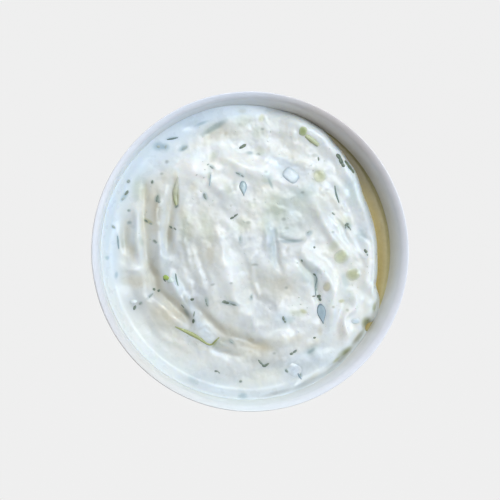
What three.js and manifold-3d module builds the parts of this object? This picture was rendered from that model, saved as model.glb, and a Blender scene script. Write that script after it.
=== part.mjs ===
// Tzatziki dip in its small white bowl.
//
// Millimetres, +Z up. The bowl stands on z = 0 and its axis is the Z axis.
// Three solids: the bowl, the thick dip that fills it, and the thin pool of whey
// and oil that has gathered where the dip stands clear of the wall.

import * as THREE from 'three';
import { mergeVertices } from 'three/addons/utils/BufferGeometryUtils.js';
import Module from 'manifold-3d';

// ---- Driving dimensions -------------------------------------------------------

// Bowl
const rimRadius = 53;
const rimHeight = 46;
const lipOuterWidth = 0.3; // from the widest point in to the top of the lip
const lipOuterDrop = 0.6;
const lipInnerWidth = 2; // from the top of the lip in to the wall
const lipInnerDrop = 2.6;
const lipFrom = 15; // degrees of a quarter round between which the inside of the lip curves down
const lipTo = 75;
const flare = 1.7; // how far the top of the wall leans out
const footRadius = 29.5;
const footWidth = 3;
const footHeight = 2.2;
const footChamfer = 0.5;
const floorHeight = 5.4;
const floorRadius = 22;
const bowlSectors = 80;

// Dip
const level = rimHeight - 12; // thin yogurt where it meets the wall
const domeRise = 2.9; // how far the thick part stands above that
const domeRadius = 60; // at which the dome would come down to the level
const sag = 0.9; // of the outer parts, where the dip touches the wall
const rightRise = 0.8; // the dip was heaped a little higher to the right and to the back
const backRise = 0.5;
const softEdge = { inside: 8, outside: 3 }; // run of the slope on both sides of the thick edge
const steepEdge = { inside: 2.4, outside: 1.4 }; // the same on the open side
const moatDepth = 3.2; // gap between the thick part and the wall, on the open side
const crestRise = 1.2; // heaped edge above the moat
const crestWidth = 2.6;
const cling = 3; // how far thin yogurt creeps up the near left wall
const clingRun = { inside: 4.5, outside: 0.3 }; // run of that slope on both sides of the wall
const farRise = 3; // the dip lies higher against the far wall
const farAngle = { centre: 102, halfWidth: 25 }; // degrees round the bowl
const farRun = 13; // how far that slope runs in from the wall
const dipRings = 29;

// Toppings: thickness, and the share of it that is sunk in the dip
const pieceLens = { sides: 10, thickness: 1.6, sink: 0.62 };
const fleckLens = { sides: 6, thickness: 0.8, sink: 0.5 };
const stripBelow = 0.4; // depth and height of a strip from the dip's surface
const stripAbove = 0.32;
const stripSteps = 5;

// Whey
const wheyLevel = level - 0.6;
const wheyStart = -15; // degrees round the bowl
const wheyEnd = 56;
const wheySections = 26;
const wheyStations = 5; // points across
const thinnestWhey = 0.2;

const gap = 0.3; // clearance between two solids that touch
const wheyClearance = 1; // between the whey and the uneven dip under it
const shortestEdge = 0.02; // slivers under this are closed up after a join

// Edge of the thick part: degrees round the bowl from +X towards +Y, and radius
const thickEdge = [
  [-90, 47.2], [-60, 47.4], [-27, 48.6], [-20, 47.6], [-13, 45.2], [0, 44.5], [24, 44.1], [40, 46.3],
  [49, 47.2], [59, 48.9], [70, 49.4], [95, 46], [120, 43.8], [150, 44.6], [180, 44.3], [212, 43],
  [240, 44], [270, 47.2],
];

// Marks left by the spoon: height above the dome (a furrow is negative), half-width
// and the points that the mark runs through.
const spoonMarks = [
  { name: 'outer swirl', height: -1.2, width: 1.5,
    path: [[-34, 25], [-34.8, 18], [-34.8, 11], [-34.2, 3], [-33, -4], [-31, -10]] },
  { name: 'deep swirl', height: -1.7, width: 1.9,
    path: [[-33.4, -2], [-31.4, -9], [-28.4, -14.4], [-24.4, -17.8], [-20.6, -21.6], [-17, -25.6]] },
  { name: 'inner swirl', height: -0.9, width: 1.8,
    path: [[-19.5, -15.5], [-15.6, -20], [-10.8, -24.4], [-5, -27.8], [2, -30.4], [10, -33]] },
  { name: 'left furrow', height: -1.3, width: 1.5,
    path: [[-25.6, 24], [-25.6, 18], [-26.2, 10], [-27, 3], [-26.5, -3]] },
  { name: 'far left furrow', height: -1.2, width: 1.7,
    path: [[-41.5, 14], [-41, 7], [-40, 0], [-38.5, -4]] },
  { name: 'top crease', height: -1.3, width: 1.3,
    path: [[-17, 37.8], [-13.5, 39.8], [-10, 41.6], [-6.5, 43.6]] },
  { name: 'right furrow', height: -0.7, width: 1.1,
    path: [[15.5, -1], [19, -5], [22, -8.5], [23.2, -13], [24, -18], [25, -25]] },
  { name: 'wall gap', height: -0.8, width: 1,
    path: [[35.6, -32], [32.2, -35.8], [28.3, -39.2], [20.2, -44], [12, -47.2]] },
  { name: 'inner terrace', height: -0.5, width: 3.6,
    path: [[-19, -17], [-13, -24], [-4, -29.5], [5, -32.5], [11, -35]] },
  { name: 'under the ledge', height: -0.8, width: 3.4, path: [[-45, -9.5], [-39, -10.5], [-33, -13]] },
  { name: 'swirl ridge', height: 1.5, width: 1.5,
    path: [[-27, -5], [-25, -11], [-22, -15.8], [-19, -20.5], [-15, -26.5]] },
  { name: 'left ridge', height: 1, width: 1.3, path: [[-38, 17], [-37.3, 9], [-37, 2], [-36, -4]] },
  { name: 'second left ridge', height: 0.8, width: 1.6,
    path: [[-30, 19], [-30.3, 9], [-29.6, 1], [-28, -6]] },
  { name: 'left ledge', height: 0.9, width: 1.1, path: [[-43.5, -5.2], [-39, -5.6], [-34.5, -6]] },
  { name: 'top ridge', height: 1.4, width: 2.8,
    path: [[-14, 37], [-8, 32], [-1, 28.5], [6, 26.5], [13, 25.5]] },
  { name: 'upper curl', height: 1.4, width: 2.2, path: [[-14, 26], [-10, 22], [-4, 17]] },
  { name: 'middle ridge', height: 1.6, width: 2.9,
    path: [[-10.5, 4], [-8.4, -3], [-6.8, -9], [-4.6, -15], [-1, -21], [4, -26]] },
  { name: 'right ridge', height: 1.6, width: 2.2,
    path: [[15.5, 2], [20.5, -2.5], [24.5, -6], [27.5, -10], [29.2, -14], [28.8, -19], [27.5, -27]] },
  { name: 'upper right ridge', height: 1.6, width: 2.2,
    path: [[19.5, 19.5], [24.3, 13], [28.3, 6.5], [32.3, 0.5], [38, -5.5]] },
  { name: 'lower streak', height: 1.2, width: 1.6, path: [[31.6, -22], [32.6, -26], [34.2, -30.5]] },
  { name: 'right curl', height: 1.5, width: 1.5,
    path: [[34, -11], [36.2, -15], [35.8, -18.5], [33, -21.2], [32.4, -25], [33.8, -31]] },
];

// Broad dents and heaps: height, centre and the half-lengths of an ellipse
const dents = [
  { name: 'middle hollow', height: -1.5, at: [2.8, -12], size: [5, 7.5] },
  { name: 'second hollow', height: -0.8, at: [13, -13], size: [5, 5] },
  { name: 'cucumber dish', height: -1, at: [13, 11.5], size: [9, 7] },
  { name: 'deep of the swirl', height: -1.5, at: [-31.6, -11.2], size: [2.4, 4.2] },
  { name: 'pocket at the wall', height: -2.4, at: [41.2, -24.8], size: [2.2, 2.4] },
  { name: 'upper left heap', height: 2, at: [-18.8, 27.6], size: [6.4, 5] },
  { name: 'lower right heap', height: 1.5, at: [11.6, -29.4], size: [3, 2.5] },
];

// Cucumber seeds and pieces: centre, length, width, turn in degrees
const cucumberPieces = [
  { at: [-1.7, 21.2], length: 6.2, width: 2.8, turn: 95 },
  { at: [25.3, -20.8], length: 7.2, width: 3, turn: 100 },
  { at: [14.6, 26.2], length: 6, width: 4.4, turn: -38 },
  { at: [24.2, 25.8], length: 5.2, width: 5, turn: 0 },
  { at: [35.4, -7.2], length: 5.4, width: 5, turn: 20 },
];

// Flecks of chopped dill: centre, length, width, turn in degrees
const dillFlecks = [
  { at: [-1.7, 35.4], length: 3.2, width: 1.5, turn: 30 },
  { at: [-25.3, 37.9], length: 3.4, width: 0.9, turn: 15 },
  { at: [-14.8, 18.3], length: 2.8, width: 1.4, turn: -62 },
  { at: [-40.8, 19.2], length: 2.6, width: 1.5, turn: 60 },
  { at: [-30.8, 17.3], length: 3, width: 1.5, turn: 55 },
  { at: [-34, 9.5], length: 3.2, width: 1.2, turn: -30 },
  { at: [-25.8, 7.8], length: 2.6, width: 1.1, turn: -35 },
  { at: [-4.8, 11.8], length: 3, width: 1.4, turn: 25 },
  { at: [-6.8, -17.2], length: 5, width: 1.5, turn: -6 },
  { at: [-14.5, -16], length: 3.4, width: 1.2, turn: -70 },
  { at: [-31, -12.9], length: 2.8, width: 1.4, turn: 10 },
  { at: [-27.8, -9.4], length: 3, width: 1.8, turn: 55 },
  { at: [-37.8, -18.6], length: 2.2, width: 1.6, turn: 70 },
  { at: [-18.5, -22.6], length: 3.4, width: 1.3, turn: 85 },
  { at: [-10.3, -40], length: 2.8, width: 1, turn: -15 },
  { at: [12.2, -22.8], length: 3, width: 1.5, turn: -60 },
  { at: [15.8, -33.8], length: 3, width: 1.1, turn: 30 },
  { at: [30.6, 19.2], length: 4.8, width: 1, turn: -75 },
  { at: [34.4, 8.9], length: 2.4, width: 1.7, turn: -30 },
  { at: [24.5, -15], length: 3.6, width: 1.5, turn: -10 },
];

// Thin strips of cucumber peel and a dill stem: width and the points they run through
const strips = [
  { width: 1.2, path: [[-24, -25.2], [-20, -26.5], [-16, -29.2], [-12.5, -31.2]] },
  { width: 1.8, path: [[18.2, 41.4], [20.4, 39], [23.6, 36.6]] },
  { width: 1, path: [[22.8, -6.6], [23.6, -9], [23.5, -13.4]] },
  { width: 1.1, path: [[3.6, -35.7], [5.4, -38], [7.4, -37.2]] },
  { width: 1.6, path: [[-24.4, 23], [-24.6, 19], [-24.3, 15.4]] },
];

// ---- Helpers ------------------------------------------------------------------

const radians = THREE.MathUtils.degToRad;
const ease = (low, high, value) => THREE.MathUtils.smoothstep(value, low, high);
const bell = (value) => Math.exp(-value * value);

function roundTo(points) {
  return new THREE.SplineCurve(points.map(([x, y]) => new THREE.Vector2(x, y)));
}

function bodyGeometry(positions, triangles) {
  const geometry = new THREE.BufferGeometry();
  geometry.setAttribute('position', new THREE.Float32BufferAttribute(positions, 3));
  geometry.setIndex(triangles);
  return geometry;
}

// ---- Bowl ---------------------------------------------------------------------

const lipRadius = rimRadius - lipOuterWidth;
const outerTop = rimHeight - lipOuterDrop;
const innerTop = rimHeight - lipInnerDrop;

// The side rises steeply and turns in to the foot, as a rounded corner with its own exponents.
function rounded(share, vertical, horizontal) {
  return Math.pow(1 - Math.pow(1 - share, vertical), 1 / horizontal);
}

function outsideRadius(z) {
  const share = (z - footHeight) / (outerTop - footHeight);
  return footRadius + (rimRadius - footRadius) * rounded(share, 2.1, 1.6);
}

function insideRadius(z) {
  const share = (z - floorHeight) / (innerTop - floorHeight);
  const straight = lipRadius - lipInnerWidth - flare;
  return floorRadius + (straight - floorRadius) * rounded(share, 2.8, 1.9) + flare * share ** 6;
}

// The outside turns over a small round edge on to the lip, which curves down to the inside.
function lipProfile() {
  const profile = [];
  for (const turn of [0, 45, 90]) {
    const inward = lipOuterWidth * (1 - Math.cos(radians(turn)));
    const drop = lipOuterDrop * (1 - Math.sin(radians(turn)));
    profile.push(new THREE.Vector2(rimRadius - inward, rimHeight - drop));
  }
  const from = radians(lipFrom);
  const to = radians(lipTo);
  for (const share of [0.2, 0.4, 0.6, 0.8, 1]) {
    const turn = THREE.MathUtils.lerp(from, to, share);
    const inward = (Math.sin(turn) - Math.sin(from)) / (Math.sin(to) - Math.sin(from));
    const down = (Math.cos(from) - Math.cos(turn)) / (Math.cos(from) - Math.cos(to));
    profile.push(new THREE.Vector2(lipRadius - lipInnerWidth * inward, rimHeight - lipInnerDrop * down));
  }
  return profile;
}

function bowlProfile() {
  const footInside = footRadius - footWidth;
  const steps = [0.02, 0.06, 0.13, 0.22, 0.34, 0.48, 0.64, 0.8, 0.92];
  const pointAt = (radiusAt, bottom, top, share) => {
    const z = THREE.MathUtils.lerp(bottom, top, share);
    return new THREE.Vector2(radiusAt(z), z);
  };
  return [
    new THREE.Vector2(0, footHeight),
    new THREE.Vector2(footInside - footChamfer, footHeight),
    new THREE.Vector2(footInside, 0),
    new THREE.Vector2(footRadius - footChamfer, 0),
    new THREE.Vector2(footRadius, footChamfer),
    new THREE.Vector2(footRadius, footHeight),
    ...steps.map((share) => pointAt(outsideRadius, footHeight, outerTop, share)),
    ...lipProfile(),
    ...steps.toReversed().map((share) => pointAt(insideRadius, floorHeight, innerTop, share)),
    new THREE.Vector2(floorRadius, floorHeight),
    new THREE.Vector2(0, floorHeight),
  ];
}

function makeBowl() {
  const geometry = new THREE.LatheGeometry(bowlProfile(), bowlSectors);
  geometry.rotateX(Math.PI / 2);
  return geometry;
}

// ---- Surface of the dip -------------------------------------------------------

// One on the open side, where the thick part stands clear of the wall, and nought elsewhere
function openSide(angle) {
  return ease(-50, -28, angle) * (1 - ease(64, 86, angle));
}

function edgeRadius(angle) {
  const turn = angle < -90 ? angle + 360 : angle;
  const next = Math.max(thickEdge.findIndex(([stop]) => stop >= turn), 1);
  const [from, fromRadius] = thickEdge[next - 1];
  const [to, toRadius] = thickEdge[next];
  return THREE.MathUtils.lerp(fromRadius, toRadius, ease(from, to, turn));
}

// Each mark as a smooth line, with its length and the length over which it fades at both ends
const marks = spoonMarks.map((mark) => {
  const curve = roundTo(mark.path);
  const length = curve.getLength();
  return { ...mark, line: curve.getPoints(30), length, fade: Math.min(length / 2, 3 * mark.width + 1) };
});

// Distance from a point to a line, and the length walked along the line to the nearest point
function nearest(line, x, y) {
  let best = { distance: Infinity, walked: 0 };
  let walked = 0;
  for (let i = 0; i + 1 < line.length; i += 1) {
    const dx = line[i + 1].x - line[i].x;
    const dy = line[i + 1].y - line[i].y;
    const length = Math.hypot(dx, dy);
    const along = ((x - line[i].x) * dx + (y - line[i].y) * dy) / length ** 2;
    const t = THREE.MathUtils.clamp(along, 0, 1);
    const distance = Math.hypot(x - line[i].x - t * dx, y - line[i].y - t * dy);
    if (distance < best.distance) {
      best = { distance, walked: walked + t * length };
    }
    walked += length;
  }
  return best;
}

function spoonRelief(x, y) {
  let height = 0;
  for (const mark of marks) {
    const { distance, walked } = nearest(mark.line, x, y);
    const fade = ease(0, mark.fade, walked) * ease(0, mark.fade, mark.length - walked);
    height += mark.height * bell(distance / mark.width) * fade;
  }
  for (const dent of dents) {
    const across = (x - dent.at[0]) / dent.size[0];
    const along = (y - dent.at[1]) / dent.size[1];
    height += dent.height * bell(Math.hypot(across, along));
  }
  return height;
}

function dipHeight(x, y) {
  const radius = Math.hypot(x, y);
  const angle = THREE.MathUtils.radToDeg(Math.atan2(y, x));
  const edge = edgeRadius(angle);
  const open = openSide(angle);
  const soft = 1 - ease(edge - softEdge.inside, edge + softEdge.outside, radius);
  const steep = 1 - ease(edge - steepEdge.inside, edge + steepEdge.outside, radius);
  const body = THREE.MathUtils.lerp(soft, steep, open);
  const lean = rightRise * ease(-30, 40, x) + backRise * ease(-20, 30, y);
  const flatter = sag * (1 - open) * ease(15, 42, radius);
  const dome = (domeRise * (1 - Math.pow(radius / domeRadius, 2.4)) - flatter + lean) * body;
  const crest = crestRise * open * bell((radius - edge + 3) / crestWidth);
  const moat = moatDepth * open * ease(-26, -12, angle) * ease(edge - 1.2, edge + 1.8, radius);
  const wall = insideRadius(level);
  const towardsNearLeft = (-0.7 * (x + y)) / Math.max(radius, 1);
  const nearLeft = ease(-0.3, 0.5, towardsNearLeft);
  const creep = cling * nearLeft * (1 - open) * ease(wall - clingRun.inside, wall + clingRun.outside, radius) ** 2;
  const farSide = bell((angle - farAngle.centre) / farAngle.halfWidth);
  const rise = farRise * farSide * ease(wall - farRun, wall + clingRun.outside, radius);
  return level + dome + crest - moat + creep + rise + spoonRelief(x, y);
}

// Radius at which the dip's surface meets the wall, which leans in towards the floor
function reach(turn) {
  const start = insideRadius(level) - gap;
  const z = dipHeight(start * Math.cos(turn), start * Math.sin(turn));
  return insideRadius(Math.min(z - gap, level + cling)) - gap;
}

// ---- Dip ----------------------------------------------------------------------

// Rings of 6, 12, 18 ... points cover the top evenly. The underside follows the bowl.
function dipBody() {
  const positions = [0, 0, dipHeight(0, 0)];
  const triangles = [];
  const firstOfRing = (ring) => (ring === 0 ? 0 : 1 + 3 * ring * (ring - 1));
  for (let ring = 1; ring <= dipRings; ring += 1) {
    for (let i = 0; i < 6 * ring; i += 1) {
      const turn = (2 * Math.PI * i) / (6 * ring);
      const radius = (reach(turn) * ring) / dipRings;
      const x = radius * Math.cos(turn);
      const y = radius * Math.sin(turn);
      positions.push(x, y, dipHeight(x, y));
    }
  }
  for (let ring = 1; ring <= dipRings; ring += 1) {
    const outer = firstOfRing(ring);
    const inner = firstOfRing(ring - 1);
    for (let sextant = 0; sextant < 6; sextant += 1) {
      for (let i = 0; i < ring; i += 1) {
        const a = outer + sextant * ring + i;
        const b = outer + ((sextant * ring + i + 1) % (6 * ring));
        const innerCount = Math.max(6 * (ring - 1), 1);
        const c = inner + ((sextant * (ring - 1) + i) % innerCount);
        triangles.push(a, b, c);
        if (i + 1 < ring) {
          const d = inner + ((sextant * (ring - 1) + i + 1) % innerCount);
          triangles.push(b, d, c);
        }
      }
    }
  }
  const sides = 6 * dipRings;
  let upper = firstOfRing(dipRings);
  for (const share of [0.58, 0.36, 0.18, 0.07, 0.015]) {
    const z = THREE.MathUtils.lerp(floorHeight, innerTop, share);
    const radius = insideRadius(z) - 2 * gap;
    const lower = positions.length / 3;
    for (let i = 0; i < sides; i += 1) {
      const turn = (2 * Math.PI * i) / sides;
      positions.push(radius * Math.cos(turn), radius * Math.sin(turn), z + gap);
    }
    for (let i = 0; i < sides; i += 1) {
      const next = (i + 1) % sides;
      triangles.push(upper + i, lower + i, lower + next, upper + i, lower + next, upper + next);
    }
    upper = lower;
  }
  const middle = positions.length / 3;
  positions.push(0, 0, floorHeight + gap);
  for (let i = 0; i < sides; i += 1) {
    triangles.push(upper + i, middle, upper + ((i + 1) % sides));
  }
  return bodyGeometry(positions, triangles);
}

// A lens lying on the dip, sunk by part of its thickness
function lens({ at, length, width, turn }, { sides, thickness, sink }) {
  const geometry = new THREE.SphereGeometry(0.5, sides, 4);
  geometry.rotateX(Math.PI / 2);
  geometry.scale(length, width, thickness);
  geometry.rotateZ(radians(turn));
  geometry.translate(at[0], at[1], dipHeight(at[0], at[1]) + thickness * (0.5 - sink));
  return geometry;
}

// A narrow strip that follows the dip's surface
function strip({ width, path }) {
  const line = roundTo(path).getPoints(stripSteps);
  const positions = [];
  const triangles = [];
  line.forEach((point, i) => {
    const before = line[Math.max(i - 1, 0)];
    const after = line[Math.min(i + 1, stripSteps)];
    const side = new THREE.Vector2(before.y - after.y, after.x - before.x).normalize();
    const taper = i === 0 || i === stripSteps ? 0.5 : 1;
    const half = (taper * width) / 2;
    const z = dipHeight(point.x, point.y);
    for (const [across, up] of [[-1, -stripBelow], [1, -stripBelow], [1, stripAbove], [-1, stripAbove]]) {
      positions.push(point.x + side.x * across * half, point.y + side.y * across * half, z + up);
    }
  });
  for (let i = 0; i < stripSteps; i += 1) {
    for (let corner = 0; corner < 4; corner += 1) {
      const a = 4 * i + corner;
      const b = 4 * i + ((corner + 1) % 4);
      triangles.push(a, b, a + 4, b, b + 4, a + 4);
    }
  }
  triangles.push(0, 2, 1, 0, 3, 2);
  const last = 4 * stripSteps;
  triangles.push(last, last + 1, last + 2, last, last + 2, last + 3);
  return bodyGeometry(positions, triangles);
}

const manifold = await Module();
manifold.setup();

function toSolid(geometry) {
  geometry.deleteAttribute('normal');
  geometry.deleteAttribute('uv');
  const merged = mergeVertices(geometry, 1e-4);
  return new manifold.Manifold(new manifold.Mesh({
    numProp: 3,
    vertProperties: new Float32Array(merged.attributes.position.array),
    triVerts: new Uint32Array(merged.index.array),
  }));
}

function makeDip() {
  let solid = toSolid(dipBody());
  const pieces = [
    ...cucumberPieces.map((piece) => lens(piece, pieceLens)),
    ...dillFlecks.map((fleck) => lens(fleck, fleckLens)),
    ...strips.map(strip),
  ];
  for (const piece of pieces) {
    solid = solid.add(toSolid(piece));
  }
  const mesh = solid.simplify(shortestEdge).getMesh();
  return bodyGeometry(mesh.vertProperties, new THREE.BufferAttribute(mesh.triVerts, 1));
}

// ---- Whey ---------------------------------------------------------------------

// First radius at which the dip has dropped below the whey, looking out from its crest
function shoreRadius(turn) {
  const step = 0.05;
  let radius = edgeRadius(THREE.MathUtils.radToDeg(turn)) - 2;
  const clear = wheyLevel - wheyClearance - thinnestWhey;
  while (dipHeight(radius * Math.cos(turn), radius * Math.sin(turn)) > clear && radius < reach(turn)) {
    radius += step;
  }
  return radius;
}

function makeWhey() {
  const outer = insideRadius(wheyLevel) - gap;
  const positions = [];
  const triangles = [];
  for (let i = 0; i <= wheySections; i += 1) {
    const turn = radians(THREE.MathUtils.lerp(wheyStart, wheyEnd, i / wheySections));
    const shore = shoreRadius(turn) + thinnestWhey;
    for (let j = 0; j < wheyStations; j += 1) {
      const radius = THREE.MathUtils.lerp(shore, outer, j / (wheyStations - 1));
      const x = radius * Math.cos(turn);
      const y = radius * Math.sin(turn);
      const inset = j === wheyStations - 1 ? gap : 0;
      const under = Math.min(dipHeight(x, y) + wheyClearance, wheyLevel - thinnestWhey);
      positions.push(x, y, wheyLevel);
      positions.push(x - inset * Math.cos(turn), y - inset * Math.sin(turn), under);
    }
  }
  const top = (i, j) => 2 * (i * wheyStations + j);
  const bottom = (i, j) => top(i, j) + 1;
  const quad = (a, b, c, d) => triangles.push(a, b, c, a, c, d);
  for (let i = 0; i < wheySections; i += 1) {
    for (let j = 0; j + 1 < wheyStations; j += 1) {
      quad(top(i, j), top(i, j + 1), top(i + 1, j + 1), top(i + 1, j));
      quad(bottom(i, j), bottom(i + 1, j), bottom(i + 1, j + 1), bottom(i, j + 1));
    }
    const rim = wheyStations - 1;
    quad(top(i, 0), top(i + 1, 0), bottom(i + 1, 0), bottom(i, 0));
    quad(top(i, rim), bottom(i, rim), bottom(i + 1, rim), top(i + 1, rim));
  }
  for (let j = 0; j + 1 < wheyStations; j += 1) {
    quad(top(0, j), bottom(0, j), bottom(0, j + 1), top(0, j + 1));
    quad(top(wheySections, j), top(wheySections, j + 1), bottom(wheySections, j + 1), bottom(wheySections, j));
  }
  return bodyGeometry(positions, triangles);
}

// ---- The object ---------------------------------------------------------------

function piece(name, geometry, finish) {
  const mesh = new THREE.Mesh(geometry, new THREE.MeshStandardMaterial(finish));
  mesh.name = name;
  return mesh;
}

const glaze = { color: 0xeef1f6, roughness: 0.12, metalness: 0 };
const yogurt = { color: 0xf1f1ea, roughness: 0.35, metalness: 0 };
const oilyWhey = { color: 0xb9a877, roughness: 0.1, metalness: 0 };

const tzatziki = new THREE.Group();
tzatziki.name = 'tzatziki_dip';
tzatziki.add(piece('bowl', makeBowl(), glaze));
tzatziki.add(piece('dip', makeDip(), yogurt));
tzatziki.add(piece('whey', makeWhey(), oilyWhey));

export default tzatziki;
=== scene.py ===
# %% [markdown]
# # A small bowl of tzatziki
#
# Tzatziki is thick yogurt with grated cucumber and chopped dill. It is spooned into a bowl, so its top keeps
# the swirls of the spoon. This lesson dresses three plain solids, of the bowl, the dip and the whey, which
# already have their real size. The first cell loads them.

import math

import bpy
import numpy as np
from mathutils import Matrix, Vector


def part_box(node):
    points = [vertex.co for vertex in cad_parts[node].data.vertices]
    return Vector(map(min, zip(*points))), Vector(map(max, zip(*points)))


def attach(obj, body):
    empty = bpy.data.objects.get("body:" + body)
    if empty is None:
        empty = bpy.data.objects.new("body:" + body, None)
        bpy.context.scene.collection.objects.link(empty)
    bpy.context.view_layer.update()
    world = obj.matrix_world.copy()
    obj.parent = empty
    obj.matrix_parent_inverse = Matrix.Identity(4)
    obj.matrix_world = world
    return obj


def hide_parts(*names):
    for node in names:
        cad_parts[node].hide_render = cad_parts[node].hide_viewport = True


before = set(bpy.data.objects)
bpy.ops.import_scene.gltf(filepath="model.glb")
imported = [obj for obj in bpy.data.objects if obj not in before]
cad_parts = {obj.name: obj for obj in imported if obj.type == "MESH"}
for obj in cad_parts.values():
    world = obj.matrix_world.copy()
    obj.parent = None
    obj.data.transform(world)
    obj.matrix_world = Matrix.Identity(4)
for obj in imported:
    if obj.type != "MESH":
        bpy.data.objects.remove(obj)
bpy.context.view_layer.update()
MM = 0.001
print("solids", ", ".join(sorted(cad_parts)))

# %% [markdown]
# ## Soft steps and noise
#
# Every smooth form here is worked out in millimetres with numpy, on whole arrays of points at once. Blender's
# own noise textures could shape the dip too, but the same noise also has to set the height of what lies on
# it. `ease` is a soft step and `bell` a soft bump. `lumps` is smooth noise from a seeded grid, so each run
# gives the same dip. It turns the grid by an angle of its own for each seed, so that no two noises line up.

# %% Soft steps and noise
GRID = 256


def ease(low, high, value):
    """0 below low, 1 above high, and a soft step between them."""
    share = np.clip((value - low) / (high - low), 0, 1)
    return share * share * (3 - 2 * share)


def bell(value):
    """A soft bump, 1 at nought."""
    return np.exp(-value * value)


def lumps(x, y, size, seed):
    """Smooth noise between -1 and 1, with lumps of about this size."""
    grid = np.random.default_rng(seed).uniform(-1, 1, (GRID, GRID))
    turn = 0.6 + seed
    u = (x * math.cos(turn) - y * math.sin(turn)) / size
    v = (x * math.sin(turn) + y * math.cos(turn)) / size
    i, j = np.floor(u).astype(int), np.floor(v).astype(int)
    s, t = ease(0, 1, u - i), ease(0, 1, v - j)
    i, j, right, above = i % GRID, j % GRID, (i + 1) % GRID, (j + 1) % GRID
    low = grid[i, j] * (1 - s) + grid[right, j] * s
    high = grid[i, above] * (1 - s) + grid[right, above] * s
    return low * (1 - t) + high * t


print("noise on a grid of", GRID, "by", GRID)

# %% [markdown]
# ## Making a mesh object
#
# Blender counts in metres and everything here in millimetres, so one helper turns points and faces into an
# object. The object itself stays at the origin, with its place in its mesh. Most pieces here are made of
# rings of points, and `ring_faces` joins two of them. A colour for each point, the tint, goes into a colour
# attribute that the materials read.


# %% Making a mesh object
def add_object(name, data):
    """A new object in the scene for a mesh, a lamp or a camera."""
    piece = bpy.data.objects.new(name, data)
    bpy.context.scene.collection.objects.link(piece)
    return piece


def add_tint(mesh, colour):
    """Give each point of the mesh its own colour."""
    layer = mesh.color_attributes.new("tint", "FLOAT_COLOR", "POINT")
    layer.data.foreach_set("color", np.concatenate([colour, np.ones((len(colour), 1))], 1).ravel())


def make_piece(name, points, faces, colour=None):
    """A smooth mesh object from points in millimetres, faces, and if wanted a colour for each point."""
    mesh = bpy.data.meshes.new(name)
    mesh.from_pydata((np.asarray(points) * MM).tolist(), [], faces)
    mesh.update()
    mesh.polygons.foreach_set("use_smooth", [True] * len(mesh.polygons))
    if colour is not None:
        add_tint(mesh, colour)
    return add_object(name, mesh)


def ring_faces(first, second, count):
    """Quads between two rings of points that start at these numbers."""
    faces = []
    for i in range(count):
        after = (i + 1) % count
        faces.append((first + i, first + after, second + after, second + i))
    return faces


# %% [markdown]
# ## Sizes of the bowl
#
# The bowl is round, so a few sizes describe it: the lip, the wall, the foot and the floor. Its side rises
# steeply and turns in to the foot as a rounded corner. The same rule gives the outside and the inside, with
# its own numbers for each. Just below the lip the inside flares a little. The frame's box gives the outer
# radius and the height, so nothing here can grow past it.

# %% Sizes of the bowl
bowl_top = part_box("bowl")[1]
RIM_RADIUS = round(bowl_top.x / MM, 1)
RIM_HEIGHT = round(bowl_top.z / MM, 1)
LIP_OUTER_WIDTH, LIP_OUTER_DROP = 0.3, 0.6
LIP_INNER_WIDTH, LIP_INNER_DROP = 2.0, 2.6
LIP_FROM, LIP_TO = math.radians(15), math.radians(75)
FLARE = 1.7
FOOT_RADIUS = 29.5
FOOT_WIDTH = 3.0
FOOT_HEIGHT = 2.2
FLOOR_HEIGHT = 5.4
FLOOR_RADIUS = 22.0
LIP_RADIUS = RIM_RADIUS - LIP_OUTER_WIDTH
OUTER_TOP = RIM_HEIGHT - LIP_OUTER_DROP
INNER_TOP = RIM_HEIGHT - LIP_INNER_DROP


def rounded(share, vertical, horizontal):
    """A quarter turn with its own exponents, from 0 at the bottom to 1 at the top."""
    return (1 - (1 - share) ** vertical) ** (1 / horizontal)


def outside_radius(z):
    """Radius of the outside at this height."""
    share = (z - FOOT_HEIGHT) / (OUTER_TOP - FOOT_HEIGHT)
    return FOOT_RADIUS + (RIM_RADIUS - FOOT_RADIUS) * rounded(share, 2.1, 1.6)


def inside_radius(z):
    """Radius of the inside at this height."""
    share = (z - FLOOR_HEIGHT) / (INNER_TOP - FLOOR_HEIGHT)
    top = LIP_RADIUS - LIP_INNER_WIDTH - FLARE
    return FLOOR_RADIUS + (top - FLOOR_RADIUS) * rounded(share, 2.8, 1.9) + FLARE * share**6


print("lip", RIM_RADIUS, "mm in radius and", RIM_HEIGHT, "mm high")

# %% [markdown]
# ## The bowl
#
# A thrown or pressed bowl is a profile turned about an axis. A Screw modifier could turn it, but a short loop
# over the rings is as simple, and it gives one closed skin from the middle of the underside, round the foot,
# up the outside, over the lip and down to the middle of the floor. The two ends are drawn in to one point on
# the axis.


# %% Turn the bowl
def foot_profile():
    """The underside and the foot ring, with its edges softly rounded."""
    foot_inside = FOOT_RADIUS - FOOT_WIDTH
    profile = [(foot_inside * share, FOOT_HEIGHT) for share in (0.3, 0.6, 0.9)]
    profile += [(foot_inside - 0.6, FOOT_HEIGHT), (foot_inside - 0.2, 1.6), (foot_inside, 0.35)]
    profile += [(foot_inside + 0.25, 0.05), (foot_inside + 0.5, 0.0), (FOOT_RADIUS - 0.5, 0.0)]
    return profile + [(FOOT_RADIUS - 0.12, 0.12), (FOOT_RADIUS, 0.5), (FOOT_RADIUS, FOOT_HEIGHT - 0.3)]


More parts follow.
